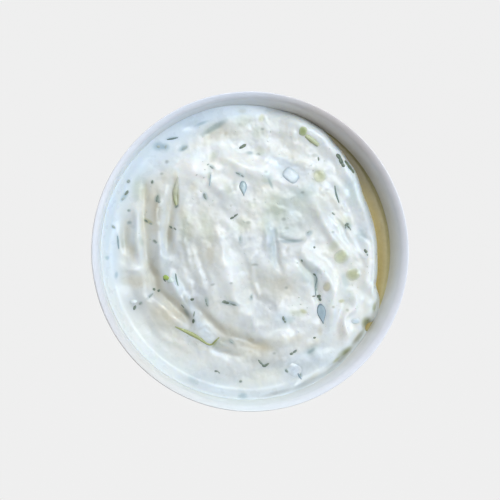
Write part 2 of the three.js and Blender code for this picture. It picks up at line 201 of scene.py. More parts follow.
def lip_profile():
    """The narrow outer quarter of the lip and its broad slope to the inside."""
    profile = []
    for turn in np.radians(np.linspace(0, 90, 7)):
        drop = LIP_OUTER_DROP * (1 - math.sin(turn))
        profile.append((LIP_RADIUS + LIP_OUTER_WIDTH * math.cos(turn), RIM_HEIGHT - drop))
    for turn in np.linspace(LIP_FROM, LIP_TO, 20)[1:]:
        inward = (math.sin(turn) - math.sin(LIP_FROM)) / (math.sin(LIP_TO) - math.sin(LIP_FROM))
        down = (math.cos(LIP_FROM) - math.cos(turn)) / (math.cos(LIP_FROM) - math.cos(LIP_TO))
        profile.append((LIP_RADIUS - LIP_INNER_WIDTH * inward, RIM_HEIGHT - LIP_INNER_DROP * down))
    return profile


def bowl_profile():
    """Points of the profile, as radius and height, from the underside to the floor."""
    profile = foot_profile()
    for share in np.linspace(0, 1, 44) ** 2.2:
        z = FOOT_HEIGHT + (OUTER_TOP - FOOT_HEIGHT) * (0.002 + 0.983 * share)
        profile.append((outside_radius(z), z))
    profile += lip_profile()
    for share in np.linspace(0.99, 0, 40) ** 2:
        z = FLOOR_HEIGHT + (INNER_TOP - FLOOR_HEIGHT) * share
        profile.append((inside_radius(z), z))
    return profile + [(FLOOR_RADIUS * share, FLOOR_HEIGHT) for share in (0.7, 0.35)]


def turn_profile(name, profile, sectors, bottom, top):
    """A closed body: the profile turned about Z, with its ends drawn in to the axis."""
    turns = np.arange(sectors) * 2 * math.pi / sectors
    points = [(r * math.cos(t), r * math.sin(t), z) for r, z in profile for t in turns]
    faces = []
    for i in range(len(profile) - 1):
        faces += ring_faces(i * sectors, (i + 1) * sectors, sectors)
    middle = len(points)
    points += [(0, 0, bottom), (0, 0, top)]
    last = (len(profile) - 1) * sectors
    for i in range(sectors):
        after = (i + 1) % sectors
        faces.append((middle, after, i))
        faces.append((middle + 1, last + i, last + after))
    return make_piece(name, points, faces)


BOWL_SECTORS = 256
bowl = turn_profile("bowl_body", bowl_profile(), BOWL_SECTORS, FOOT_HEIGHT, FLOOR_HEIGHT)
print("bowl", len(bowl.data.polygons), "faces")

# %% [markdown]
# ## The marks of the spoon
#
# The top of the dip is not random: the spoon has left furrows and ridges that curl round the bowl. They could
# be sculpted by hand, but as numbers they are easy to change. Each row has a height, a half-width and a short
# list of points. A smooth line runs through the points, and the surface rises or sinks by how near it is to
# the line. Broad dents and heaps are soft ellipses, each with its height, its place and its two half-widths.

# %% The main marks of the spoon
SPOON_MARKS = [
    ("outer swirl", -1.2, 1.5, [(-34, 25), (-34.8, 18), (-34.8, 11), (-34.2, 3), (-33, -4), (-31, -10)]),
    ("deep swirl", -1.7, 1.9, [
        (-33.4, -2), (-31.4, -9), (-28.4, -14.4), (-24.4, -17.8), (-20.6, -21.6), (-17, -25.6),
    ]),
    ("inner swirl", -0.9, 1.8, [
        (-19.5, -15.5), (-15.6, -20), (-10.8, -24.4), (-5, -27.8), (2, -30.4), (10, -33),
    ]),
    ("left furrow", -1.3, 1.5, [(-25.6, 24), (-25.6, 18), (-26.2, 10), (-27, 3), (-26.5, -3)]),
    ("far left furrow", -1.2, 1.7, [(-41.5, 14), (-41, 7), (-40, 0), (-38.5, -4)]),
    ("top crease", -1.3, 1.3, [(-17, 37.8), (-13.5, 39.8), (-10, 41.6), (-6.5, 43.6)]),
    ("right furrow", -0.7, 1.1, [(15.5, -1), (19, -5), (22, -8.5), (23.2, -13), (24, -18), (25, -25)]),
    ("wall gap", -0.8, 1.0, [(35.6, -32), (32.2, -35.8), (28.3, -39.2), (20.2, -44), (12, -47.2)]),
    ("inner terrace", -0.5, 3.6, [(-19, -17), (-13, -24), (-4, -29.5), (5, -32.5), (11, -35)]),
    ("under the ledge", -0.8, 3.4, [(-45, -9.5), (-39, -10.5), (-33, -13)]),
    ("swirl ridge", 1.5, 1.5, [(-27, -5), (-25, -11), (-22, -15.8), (-19, -20.5), (-15, -26.5)]),
    ("left ridge", 1.0, 1.3, [(-38, 17), (-37.3, 9), (-37, 2), (-36, -4)]),
    ("second left ridge", 0.8, 1.6, [(-30, 19), (-30.3, 9), (-29.6, 1), (-28, -6)]),
    ("left ledge", 0.9, 1.1, [(-43.5, -5.2), (-39, -5.6), (-34.5, -6)]),
    ("top ridge", 1.4, 2.8, [(-14, 37), (-8, 32), (-1, 28.5), (6, 26.5), (13, 25.5)]),
    ("upper curl", 1.4, 2.2, [(-14, 26), (-10, 22), (-4, 17)]),
    ("middle ridge", 1.6, 2.9, [(-10.5, 4), (-8.4, -3), (-6.8, -9), (-4.6, -15), (-1, -21), (4, -26)]),
    ("right ridge", 1.6, 2.2, [
        (15.5, 2), (20.5, -2.5), (24.5, -6), (27.5, -10), (29.2, -14), (28.8, -19), (27.5, -27),
    ]),
    ("upper right ridge", 1.6, 2.2, [(19.5, 19.5), (24.3, 13), (28.3, 6.5), (32.3, 0.5), (38, -5.5)]),
    ("lower streak", 1.2, 1.6, [(31.6, -22), (32.6, -26), (34.2, -30.5)]),
    ("right curl", 1.5, 1.5, [
        (34, -11), (36.2, -15), (35.8, -18.5), (33, -21.2), (32.4, -25), (33.8, -31),
    ]),
]
DENTS = [
    ("middle hollow", -1.5, (2.8, -12), (5, 7.5)),
    ("second hollow", -0.8, (13, -13), (5, 5)),
    ("cucumber dish", -1.0, (13, 11.5), (9, 7)),
    ("deep of the swirl", -1.5, (-31.6, -11.2), (2.4, 4.2)),
    ("pocket at the wall", -2.4, (41.2, -24.8), (2.2, 2.4)),
    ("upper left heap", 2.0, (-18.8, 27.6), (6.4, 5)),
    ("lower right heap", 1.5, (11.6, -29.4), (3, 2.5)),
]
print(len(SPOON_MARKS), "main marks and", len(DENTS), "dents and heaps")

# %% [markdown]
# ## The small marks
#
# Thick yogurt also keeps thin crests, nicks and creases beside the main marks. They are too fine for the
# plain solid, so only the finished surface has them. Each row has the same form as above.

# %% The small marks
SMALL_MARKS = [
    ("crest of the right ridge", 0.5, 0.6, [(29, -6), (30.2, -9), (30, -12), (29.2, -15), (28.8, -18)]),
    ("crest of the curl", 0.5, 0.7, [
        (34.8, -12.5), (36.8, -15.5), (36.4, -18.4), (34, -20.9), (32.4, -22.5), (32.8, -25.5), (34.2, -30),
    ]),
    ("edge crest", 0.5, 0.7, [(41.6, 7), (42.6, 1), (42.8, -5), (42.4, -11), (42.4, -17)]),
    ("facet edge", 0.4, 0.6, [(31.6, 17.5), (32.2, 14.6), (34.6, 13)]),
    ("facet", -0.6, 2.0, [(35, 25), (34.6, 20), (34.6, 16)]),
    ("upper right crest", 0.5, 0.8, [(26, 14), (30, 8.5), (33, 3.5), (38.5, -3.5)]),
    ("second crest", 0.4, 0.7, [(28.5, 13.5), (32, 9.5), (35.5, 3), (40, -3)]),
    ("lip of the dish", -0.7, 0.8, [(9.5, 4.8), (13, 3.3), (17, 3.5), (20, 5.2)]),
    ("ledge in the middle", 0.4, 1.2, [(-12, 9), (-9, 2), (-9, -4)]),
    ("seam in the middle", -0.6, 0.9, [(8.8, 9), (8.9, 3), (9.8, -3), (11.5, -8)]),
    ("blue streak", 0.4, 1.0, [(5.8, 9.5), (6.1, 4), (6.6, -1)]),
    ("hollow rim", 0.4, 1.0, [(0.5, 0), (1, -6), (2.5, -12), (3.5, -17)]),
    ("lower crest", 0.5, 0.9, [(1.5, -18), (1, -22), (3, -27)]),
    ("spot crest", 0.5, 0.9, [(9.5, -27), (12, -28.2), (13.8, -30)]),
    ("outer furrow tail", -0.5, 1.0, [(-13, -31.5), (-8, -33.5), (-1, -35.5)]),
    ("fold in the swirl", -0.6, 0.7, [(-23.2, -12), (-21.5, -16.5), (-18.5, -20.5)]),
    ("faint crease", -0.5, 1.0, [(-23, 40.3), (-19, 41.8), (-15, 43.3)]),
    ("left line", 0.5, 0.8, [(-36.6, 15), (-36, 9), (-35.6, 2)]),
    ("small spur", 0.6, 0.9, [(-39.8, -16.2), (-38.2, -16.8), (-36.8, -17)]),
    ("furrow by the curl", -0.8, 1.2, [(31.8, -12), (32.4, -17), (31, -21), (30, -27)]),
    ("upper left streak", 0.4, 0.7, [(-13, 28), (-12.9, 24), (-13.4, 21)]),
    ("short crest", 0.6, 0.8, [(22, -4), (24.2, -6), (25.6, -7.2)]),
    ("low fold", -0.5, 1.6, [(15, -36), (20, -34), (25, -31)]),
    ("low ridge", 0.5, 1.8, [(20, -38.5), (26, -35.5), (31, -31)]),
    ("near streak", 0.2, 1.2, [(-33, -24), (-27, -29), (-20, -33.5)]),
    ("near furrow", -0.15, 1.4, [(-36, -22), (-30, -28.5), (-22, -35)]),
    ("centre streak", -0.5, 1.2, [(-17.5, 6), (-16.5, -1), (-14.5, -8), (-13, -14)]),
    ("centre crest", 0.4, 1.0, [(-21, 8), (-20.5, 0), (-19, -8)]),
    ("upper middle nick", -0.5, 1.1, [(-4.5, 26), (-5.5, 22), (-7.5, 18)]),
]
print(len(SMALL_MARKS), "small marks")

# %% [markdown]
# ## Height along a spoon mark
#
# A hand draws smooth lines, so a Catmull-Rom curve runs through the few points of each mark, as many short
# straight pieces. Each point of the dip near a mark finds its nearest place on that line. Its height is a
# soft bump across the line, and it fades towards both ends, as a spoon dips in and lifts out.

# %% Height along a spoon mark
WAVER, WAVER_SIZE = 0.5, 4


def smooth_line(points, steps=10):
    """A curve through the points, as many short straight pieces."""
    p = np.array([points[0], *points, points[-1]], float)
    t = (np.arange(steps) / steps)[:, None]
    line = []
    for a, b, c, d in zip(p, p[1:], p[2:], p[3:]):
        start, end = (c - a) / 2, (d - b) / 2
        cubic, square = 2 * b - 2 * c + start + end, 3 * c - 3 * b - 2 * start - end
        line.append(cubic * t**3 + square * t**2 + start * t + b)
    return np.concatenate([*line, p[-1:]])


def mark_height(points, rise, width, x, y):
    """The height that one spoon mark adds. It fades towards both ends."""
    line = smooth_line(points)
    reach = 3 * width
    near = (x > line[:, 0].min() - reach) & (x < line[:, 0].max() + reach)
    near &= (y > line[:, 1].min() - reach) & (y < line[:, 1].max() + reach)
    px, py = x[near], y[near]
    best = np.full(px.shape, np.inf)
    place = np.zeros(px.shape)
    walked = 0.0
    for (ax, ay), (bx, by) in zip(line, line[1:]):
        length = math.hypot(bx - ax, by - ay)
        t = np.clip(((px - ax) * (bx - ax) + (py - ay) * (by - ay)) / length**2, 0, 1)
        distance = np.hypot(px - ax - t * (bx - ax), py - ay - t * (by - ay))
        nearer = distance < best
        best[nearer] = distance[nearer]
        place[nearer] = (walked + t * length)[nearer]
        walked += length
    fade_length = min(walked / 2, reach + 1)
    fade = ease(0, fade_length, place) * ease(0, fade_length, walked - place)
    result = np.zeros(x.shape)
    result[near] = rise * bell(best / width) * fade
    return result


def relief(x, y, marks):
    """The height of all the marks, whose lines waver a little as those of a hand do."""
    x, y = x + WAVER * lumps(x, y, WAVER_SIZE, 41), y + WAVER * lumps(x, y, WAVER_SIZE, 42)
    height = np.zeros(x.shape)
    for _, rise, width, points in marks:
        height += mark_height(points, rise, width, x, y)
    return height


print("the first mark has", len(smooth_line(SPOON_MARKS[0][3])), "points on its smooth line")

# %% [markdown]
# ## The edge of the thick part
#
# The thick part stands a little above the thin yogurt at the wall. On the right, where the spoon has drawn it
# away from the wall, it ends in a steep edge, and elsewhere it runs out softly. `THICK_EDGE` gives the radius
# of that edge at some directions round the bowl, in degrees from the right side by way of the far side.

# %% The edge of the thick part
THICK_EDGE = [
    (-90, 47.2), (-60, 47.4), (-27, 48.6), (-20, 47.6), (-13, 45.2), (0, 44.5), (24, 44.1), (40, 46.3),
    (49, 47.2), (59, 48.9), (70, 49.4), (95, 46), (120, 43.8), (150, 44.6), (180, 44.3), (212, 43),
    (240, 44), (270, 47.2),
]


def open_side(angle):
    """1 where the thick part stands clear of the wall, and 0 elsewhere."""
    return ease(-50, -28, angle) * (1 - ease(64, 86, angle))


def edge_radius(angle):
    """Radius of the edge of the thick part."""
    turn = np.where(angle < -90, angle + 360, angle)
    result = np.zeros(turn.shape)
    for (start, radius), (end, next_radius) in zip(THICK_EDGE, THICK_EDGE[1:]):
        inside = (turn >= start) & (turn <= end)
        value = radius + (next_radius - radius) * ease(start, end, turn)
        result = np.where(inside, value, result)
    return result


def thick_part(x, y):
    """1 on the thick part and 0 in the thin yogurt or whey round it."""
    edge = edge_radius(np.degrees(np.arctan2(y, x)))
    return 1 - ease(edge - 5, edge + 1.5, np.hypot(x, y))


print("edge of the thick part at", min(THICK_EDGE, key=lambda row: row[1])[1], "mm or more from the axis")

# %% [markdown]
# ## The shape of the dip
#
# The whole top is one rule for the height at any point. A low dome leans towards the right and the far side,
# with a crest just inside its steep edge and a moat beyond it, where the whey lies. At the near left the thin
# yogurt clings to the wall and creeps up it, and at the far side it lies higher. Marks, dents and ripples are
# added to that. The sizes are those of the plain solid, so the finished surface lies on it.

# %% Sizes of the dip
LEVEL = RIM_HEIGHT - 12
DOME_RISE, DOME_REACH = 2.9, 60
LEAN_RIGHT, LEAN_FAR = 0.8, 0.5
FLAT_SIDE = 0.9
CREST_RISE, CREST_INSET, CREST_WIDTH = 1.2, 3, 2.6
MOAT_DEPTH = 3.2
CLING, CLING_WIDTH = 3, 4.5
FAR_RISE, FAR_WIDTH = 3, 13
FAR_CENTRE, FAR_SPREAD = 102, 25
BEHIND_WALL = 0.3
RIPPLES = [(0.3, 4.6, 5), (0.14, 2.2, 8), (0.05, 1.1, 11), (0.012, 0.6, 12)]
SWIRL_CENTRE = (4, -2)
SWIRL_RADIUS = 30
SWIRL_CALM, SWIRL_FULL = 12, 28
GRAIN_RISE, GRAIN_ACROSS, GRAIN_ALONG, GRAIN_SEED = 0.22, 2.4, 12, 3
THIN_RIPPLES = 0.12
print("the thin yogurt lies", RIM_HEIGHT - LEVEL, "mm below the rim")

# %% [markdown]
# ## The height at any point
#
# The ripples are noise in four sizes, given by height, size and seed, and one more noise that is drawn out
# along the swirl. The thin yogurt at the wall is nearly smooth and keeps only a little of them.


# %% The height of the dip at any point
def swirl_noise(x, y, across, along, seed):
    """Noise that is drawn out along the swirl of the spoon, and fades at its centre."""
    dx, dy = x - SWIRL_CENTRE[0], y - SWIRL_CENTRE[1]
    radius = np.hypot(dx, dy)
    turn = np.arctan2(dy, -dx)
    drawn_out = lumps(radius / across, turn * SWIRL_RADIUS / along, 1, seed)
    return drawn_out * ease(SWIRL_CALM, SWIRL_FULL, radius)


def body_height(x, y):
    """The dome, its crest, the moat and the yogurt that has crept up the wall."""
    radius = np.hypot(x, y)
    angle = np.degrees(np.arctan2(y, x))
    edge = edge_radius(angle)
    clear = open_side(angle)
    wall = inside_radius(LEVEL)
    soft = 1 - ease(edge - 8, edge + 3, radius)
    steep = 1 - ease(edge - 2.4, edge + 1.4, radius)
    body = soft + (steep - soft) * clear
    lean = LEAN_RIGHT * ease(-30, 40, x) + LEAN_FAR * ease(-20, 30, y)
    flatter = FLAT_SIDE * (1 - clear) * ease(15, 42, radius)
    dome = (DOME_RISE * (1 - (radius / DOME_REACH) ** 2.4) - flatter + lean) * body
    crest = CREST_RISE * clear * bell((radius - edge + CREST_INSET) / CREST_WIDTH)
    moat = MOAT_DEPTH * clear * ease(-26, -12, angle) * ease(edge - 1.2, edge + 1.8, radius)
    near_left = ease(-0.3, 0.5, -0.7 * (x + y) / np.maximum(radius, 1)) * (1 - clear)
    cling = CLING * near_left * ease(wall - CLING_WIDTH, wall + BEHIND_WALL, radius) ** 2
    far_side = bell((angle - FAR_CENTRE) / FAR_SPREAD)
    far_rise = FAR_RISE * far_side * ease(wall - FAR_WIDTH, wall + BEHIND_WALL, radius)
    return LEVEL + dome + crest - moat + cling + far_rise


def dip_height(x, y):
    """The height of the finished surface, with all its marks and ripples."""
    height = body_height(x, y) + relief(x, y, SPOON_MARKS) + relief(x, y, SMALL_MARKS)
    for _, rise, at, size in DENTS:
        height = height + rise * bell(np.hypot((x - at[0]) / size[0], (y - at[1]) / size[1]))
    small = GRAIN_RISE * swirl_noise(x, y, GRAIN_ACROSS, GRAIN_ALONG, GRAIN_SEED)
    for rise, size, seed in RIPPLES:
        small = small + rise * lumps(x, y, size, seed)
    return height + small * (THIN_RIPPLES + (1 - THIN_RIPPLES) * thick_part(x, y))


print("height in the middle of the dip", round(dip_height(np.zeros(1), np.zeros(1))[0], 1), "mm")

# %% [markdown]
# ## Cucumber just under the surface
#
# Most of the cucumber and dill lies just under the surface. There it only tints the yogurt, so it is painted
# into a colour attribute of the dip's own mesh. A noise texture could scatter such spots, but each one has
# its own place here. Each group has a tone, and one row for each spot: its place, its length and width, and
# its turn in degrees. What lies on top is made as real pieces further down.

# %% Cucumber just under the surface
# Tints of what lies under the surface; groups added further down also hold painted light and shade.
SUNK_BITS_AND_PAINTED_LIGHT = [
    ("green cucumber", (0.76, 0.76, 0.56), [
        (24.2, 25.6, 4.6, 4.6, 0), (35.4, -7.4, 4.2, 4.2, 20), (31.5, -1.6, 4.6, 4.2, 30),
        (-24.2, 20, 7, 2, 90), (21.8, 37.4, 5, 1.8, -38), (18.4, 40.6, 2.8, 2.4, 80),
        (-24, 17, 4.5, 1.4, 88), (4.6, 45, 2.6, 1.8, 60), (31.7, -16.5, 2.2, 1.2, 5),
        (-11, -30.4, 3.4, 1, 60), (40.4, -23.6, 3.2, 3.6, -10), (43, -18.5, 1.6, 3.2, -10),
        (33.8, -33.4, 4.5, 1.4, 42), (30.4, -36.4, 3, 1, 40), (-33.4, 10, 3.4, 1.4, -30),
        (18.7, -19.9, 2.6, 1.4, -20),
    ]),
    ("pale cucumber", (0.86, 0.875, 0.80), [
        (-21, 8.5, 12, 5, 85), (3.6, 40.5, 5, 4, 0), (-1.5, 44, 6, 4, 10), (4, 34, 3, 3, 0),
        (16.5, -20.5, 6, 2, -10), (-6.4, 20, 6, 3, 120), (1.2, 15.6, 3.4, 2.6, 0), (-9.5, -30.5, 6, 3, 20),
        (5.5, 9, 4, 7, 10), (-14, 8, 5, 12, 10), (29, 2.2, 5, 3, 60), (-36.5, 21, 5, 9, 0),
        (-12, 32, 4, 3, 60), (33, 10, 5, 4, 0), (-2, 9, 6, 5, 30), (9, 15, 8, 10, 20),
    ]),
    ("wet cucumber", (0.84, 0.885, 0.88), [
        (14.5, 14.5, 18, 13, 25), (12.5, 6.6, 11, 5, 0), (19.5, 20.2, 9, 5, 30), (8.4, 0.5, 2.6, 11, 4),
        (30.3, 19.6, 1.8, 6, 12), (34.6, 20.5, 5, 9.5, 12), (38.6, 5.6, 3, 4, 35),
        (15.8, -39.9, 4, 3.6, 40), (21.7, -33.2, 6, 2.4, 35), (-18.4, -42.8, 4, 2.4, -50),
        (12.7, 26.5, 4, 3.4, 0), (6.4, 24.8, 5, 4, -60), (-24.2, -9.6, 5, 2, -75),
        (36.5, -23.2, 2.2, 1.8, 0), (-13, 25, 6, 1.6, -85), (32.8, -9.4, 2, 5, 10), (20, -8, 5, 9, 40),
        (14.2, -22.8, 3, 2.4, 0), (-41.3, 3.1, 1.6, 3, 0), (-35.7, 3.5, 1.6, 3.4, 20),
    ]),
    ("warm bits", (0.93, 0.895, 0.83), [
        (26.5, -11.5, 2.6, 3.6, 0), (-1.9, 47.3, 3, 1.6, 0), (1.2, -29.5, 2.2, 1.4, 0),
        (-7.3, 39.8, 1.4, 1.2, 0), (14.5, 32, 2, 1.4, 0), (24.4, 21.3, 1.2, 1.4, 0),
        (28.7, -18.4, 1.2, 0.9, 0), (1.2, -33.3, 2, 1, 0), (-24.4, 25, 1.8, 4, 0), (-38.6, 0, 2, 6, 0),
        (24.6, -26.6, 1.6, 3, 0), (22.9, -41.5, 4, 1.4, 35), (-26.5, 5, 1.6, 5, 0), (-22, 13, 3, 6, 0),
        (-37.5, -9.8, 10, 4, -4), (-26, -21, 12, 6, -22), (37.3, -28.4, 5, 2, 58), (4, -31.8, 10, 2.6, -10),
        (-18.5, 21.5, 3, 4, 0), (-12.8, -1, 3, 8, 0), (12, -12, 9, 9, 0), (-31, 14, 4, 16, 0),
    ]),
]
print(sum(len(spots) for _, _, spots in SUNK_BITS_AND_PAINTED_LIGHT), "spots of cucumber")

# %% [markdown]
# ## Dill just under the surface
#
# A leaf of dill that has sunk a little loses its green and looks teal. Nicks are the smallest specks, where
# only the tip of a leaf comes near the surface.

# %% Dill just under the surface
SUNK_BITS_AND_PAINTED_LIGHT += [
    ("teal dill under the surface", (0.66, 0.74, 0.76), [
        (-30, 35.2, 3.8, 3, 0), (-27.6, 35, 2.6, 2.4, 0), (-11.4, 41.6, 10, 2, 32), (-22, 34.6, 3.4, 2, 32),
        (-41.3, 18.5, 4.4, 1.6, 55), (-39.7, 9.7, 1.6, 1.2, 0), (-43.4, 3.4, 0.9, 5, 6),
        (-44, -7.8, 2.4, 1.2, 84), (-47.1, -2.1, 1.6, 1.4, 0), (-1.7, -48.2, 3, 2, 0),
        (14.2, 3.6, 8.5, 1.3, 2), (-2.7, 4.2, 2.6, 1.6, 90), (1.2, -15.1, 2.6, 1.3, 75),
        (-5.5, -30, 2.6, 1.6, -40), (13.5, -39.9, 2, 1.4, -30), (18, -41.6, 1.4, 2, -15),
        (-45, 8.2, 2, 1.2, -50), (-30.5, 17.7, 3, 1.8, 80), (-21.4, 34.6, 3, 1.2, 32), (-33, -15, 3, 1, 45),
        (-12.3, 28.4, 2.4, 1.2, -30), (7.4, 23, 4, 0.9, -65), (23, -11, 1.3, 7, 4),
        (-20.5, -20.5, 3.5, 1, -60), (20.6, 6.4, 2.6, 1.8, 20), (-15.6, 43, 4, 1, 22),
        (-39.6, 13.7, 1, 1, 0), (-2.9, 25.9, 3.4, 1.2, -30), (-6.2, -17.2, 5.4, 1.6, -8),
        (-14, -16.6, 3, 1.4, -80), (21.7, -33.2, 3, 1, 35), (0.6, 33.2, 2.4, 1.2, 0), (-25.5, 38, 4, 1, 8),
        (-14.6, 18.5, 3, 1.8, -75), (33.8, 8.8, 2.6, 2.4, 0), (12.2, -22.8, 2.6, 1.6, -70),
    ]),
    ("dark nicks", (0.66, 0.68, 0.66), [
        (22.4, 1.6, 0.8, 0.8, 0), (28.5, 6.7, 1.2, 0.8, 0), (28.9, 12.9, 1.4, 0.8, -30),
        (-40, 23.4, 1.4, 1.4, 0), (-32.1, 23.2, 1.2, 1.5, 0), (-24, 15.2, 1.8, 1.3, 40),
        (-40, 13.7, 0.8, 0.8, 0), (-31.4, 3.4, 1.6, 1.1, -30), (-35.9, -17.2, 1.4, 1.2, 40),
        (-2.3, -43.4, 1.2, 0.9, 10), (22.6, 32.6, 2, 1.4, 0), (5.8, 26.8, 1.4, 1, 0),
        (18.3, 20, 1.2, 0.8, 0), (2, 17.5, 1.3, 0.9, 0), (-27.3, 30, 1.3, 1.2, 60),
        (4.9, 41.3, 1.2, 0.8, 0), (12, 11, 1.5, 1.2, 0), (-12, -11, 1.6, 0.8, 20), (0, 9.8, 1.6, 1.2, 0),
        (13, -12, 1.2, 1, 0), (9, -34, 1.2, 0.8, 0), (-6, -10.5, 1.2, 0.8, 0), (33.5, -19.5, 1, 1, 0),
        (28.6, -18.5, 1, 0.9, 0), (3.4, 32.8, 1.6, 1, 0), (13, 8, 1.8, 1, 0), (2.2, -4.3, 2.4, 0.8, 0),
        (-29, 26, 1.2, 1, 0),
    ]),
]
print(len(SUNK_BITS_AND_PAINTED_LIGHT), "groups of spots so far")

# %% [markdown]
# ## Broad tones, painted light and painted highlights
#
# Even plain yogurt isn't one white. These groups make it a little cooler in some streaks, a little beige in
# some broad patches and greyer in others, and they paint heaps and ridges lighter, as painted light, and
# the crests with painted highlights. They are broad and faint, and they overlap, so that no edge shows.

# %% Broad tones, painted light and painted highlights
SUNK_BITS_AND_PAINTED_LIGHT += [
    ("cool streaks", (0.96, 1.0, 1.045), [
        (-37, 4, 3, 16, 4), (-28, 0, 4, 16, 4), (-22, -14, 4, 16, 30), (-21, 30, 14, 7, 20),
        (12, 30, 14, 6, -20), (7, 6, 4, 14, 4), (24, -6, 10, 5, -45), (30, 8, 5, 14, 40),
        (20, -36, 18, 7, 20), (36, 20, 5, 14, 12), (28, -20, 4, 16, 0), (38, 5, 5, 9, 0),
        (34, -14, 5, 12, 20), (12, -22, 7, 5, 0), (-14, -27, 12, 4, -45),
    ]),
    ("beige of the thick yogurt", (0.985, 0.965, 0.93), [
        (-14, 8, 12, 24, 0), (4, -12, 14, 12, 0), (-30, -21, 16, 10, -30), (0, -32, 22, 6, -15),
        (-8, 42, 14, 6, 10), (15, 36, 16, 8, -30), (-33, 16, 5, 18, 0), (0, 12, 12, 12, 0),
        (18, -30, 12, 7, 0),
    ]),
    # A little greyer in broad patches.
    ("thin yogurt", (0.93, 0.93, 0.92), [
        (-34, 6, 17, 36, 0), (-18, -2, 14, 26, 10), (-2, -31, 26, 7, -22), (-22, -22, 18, 9, -50),
        (6, -10, 14, 14, 0), (14, 12, 17, 14, 0), (-27, 14, 9, 14, 0), (12, -37, 26, 6, -8),
        (24, -33, 10, 6, 40), (-4, 41, 18, 4, 20),
    ]),
    # Painted light: heaps and ridges made whiter.
    ("painted light on heaps and ridges", (1.07, 1.065, 1.06), [
        (-19, 28, 12, 11, 0), (-19, 29, 8, 7, 0), (-9, 32.5, 18, 8, -30), (6, 28, 18, 6, -12),
        (2, 31, 14, 6, -20), (-12, 22, 9, 8, -45), (-7, -5, 7, 20, 8), (24, -4, 18, 6, -45),
        (28.6, 8, 5, 16, 40), (34.5, -5, 8, 14, 30), (34, -22, 7, 18, 0), (12, -29, 6, 5, 0),
        (29, -13, 4, 14, -6), (37, 1, 5, 12, 30), (41.2, -6, 3, 24, 0), (-28, -2, 4, 7, 0),
        (-36, -27, 14, 6, -50),
    ]),
    # Painted highlights along the crests.
    ("painted highlights on the crests", (1.10, 1.095, 1.09), [
        (36.4, -15.5, 2.4, 8, 12), (35, -19.8, 2.2, 4, -35), (29.4, -13, 1.8, 12, -4),
        (33.6, -27.5, 2.2, 8, 12), (28.2, -21, 1.6, 9, 0), (12.6, -29, 3, 3, 0), (41.6, -1, 1.6, 10, 0),
        (30.5, 9.5, 1.8, 6, 35), (25, -4.5, 5, 2, -42), (38.6, -18, 1.6, 6, 0), (-9, 36.5, 5, 2.4, -30),
        (-23, 29.5, 5, 3, 20), (-36.4, 5, 1.4, 10, 3),
    ]),
]
print(sum(len(spots) for _, _, spots in SUNK_BITS_AND_PAINTED_LIGHT), "spots so far")
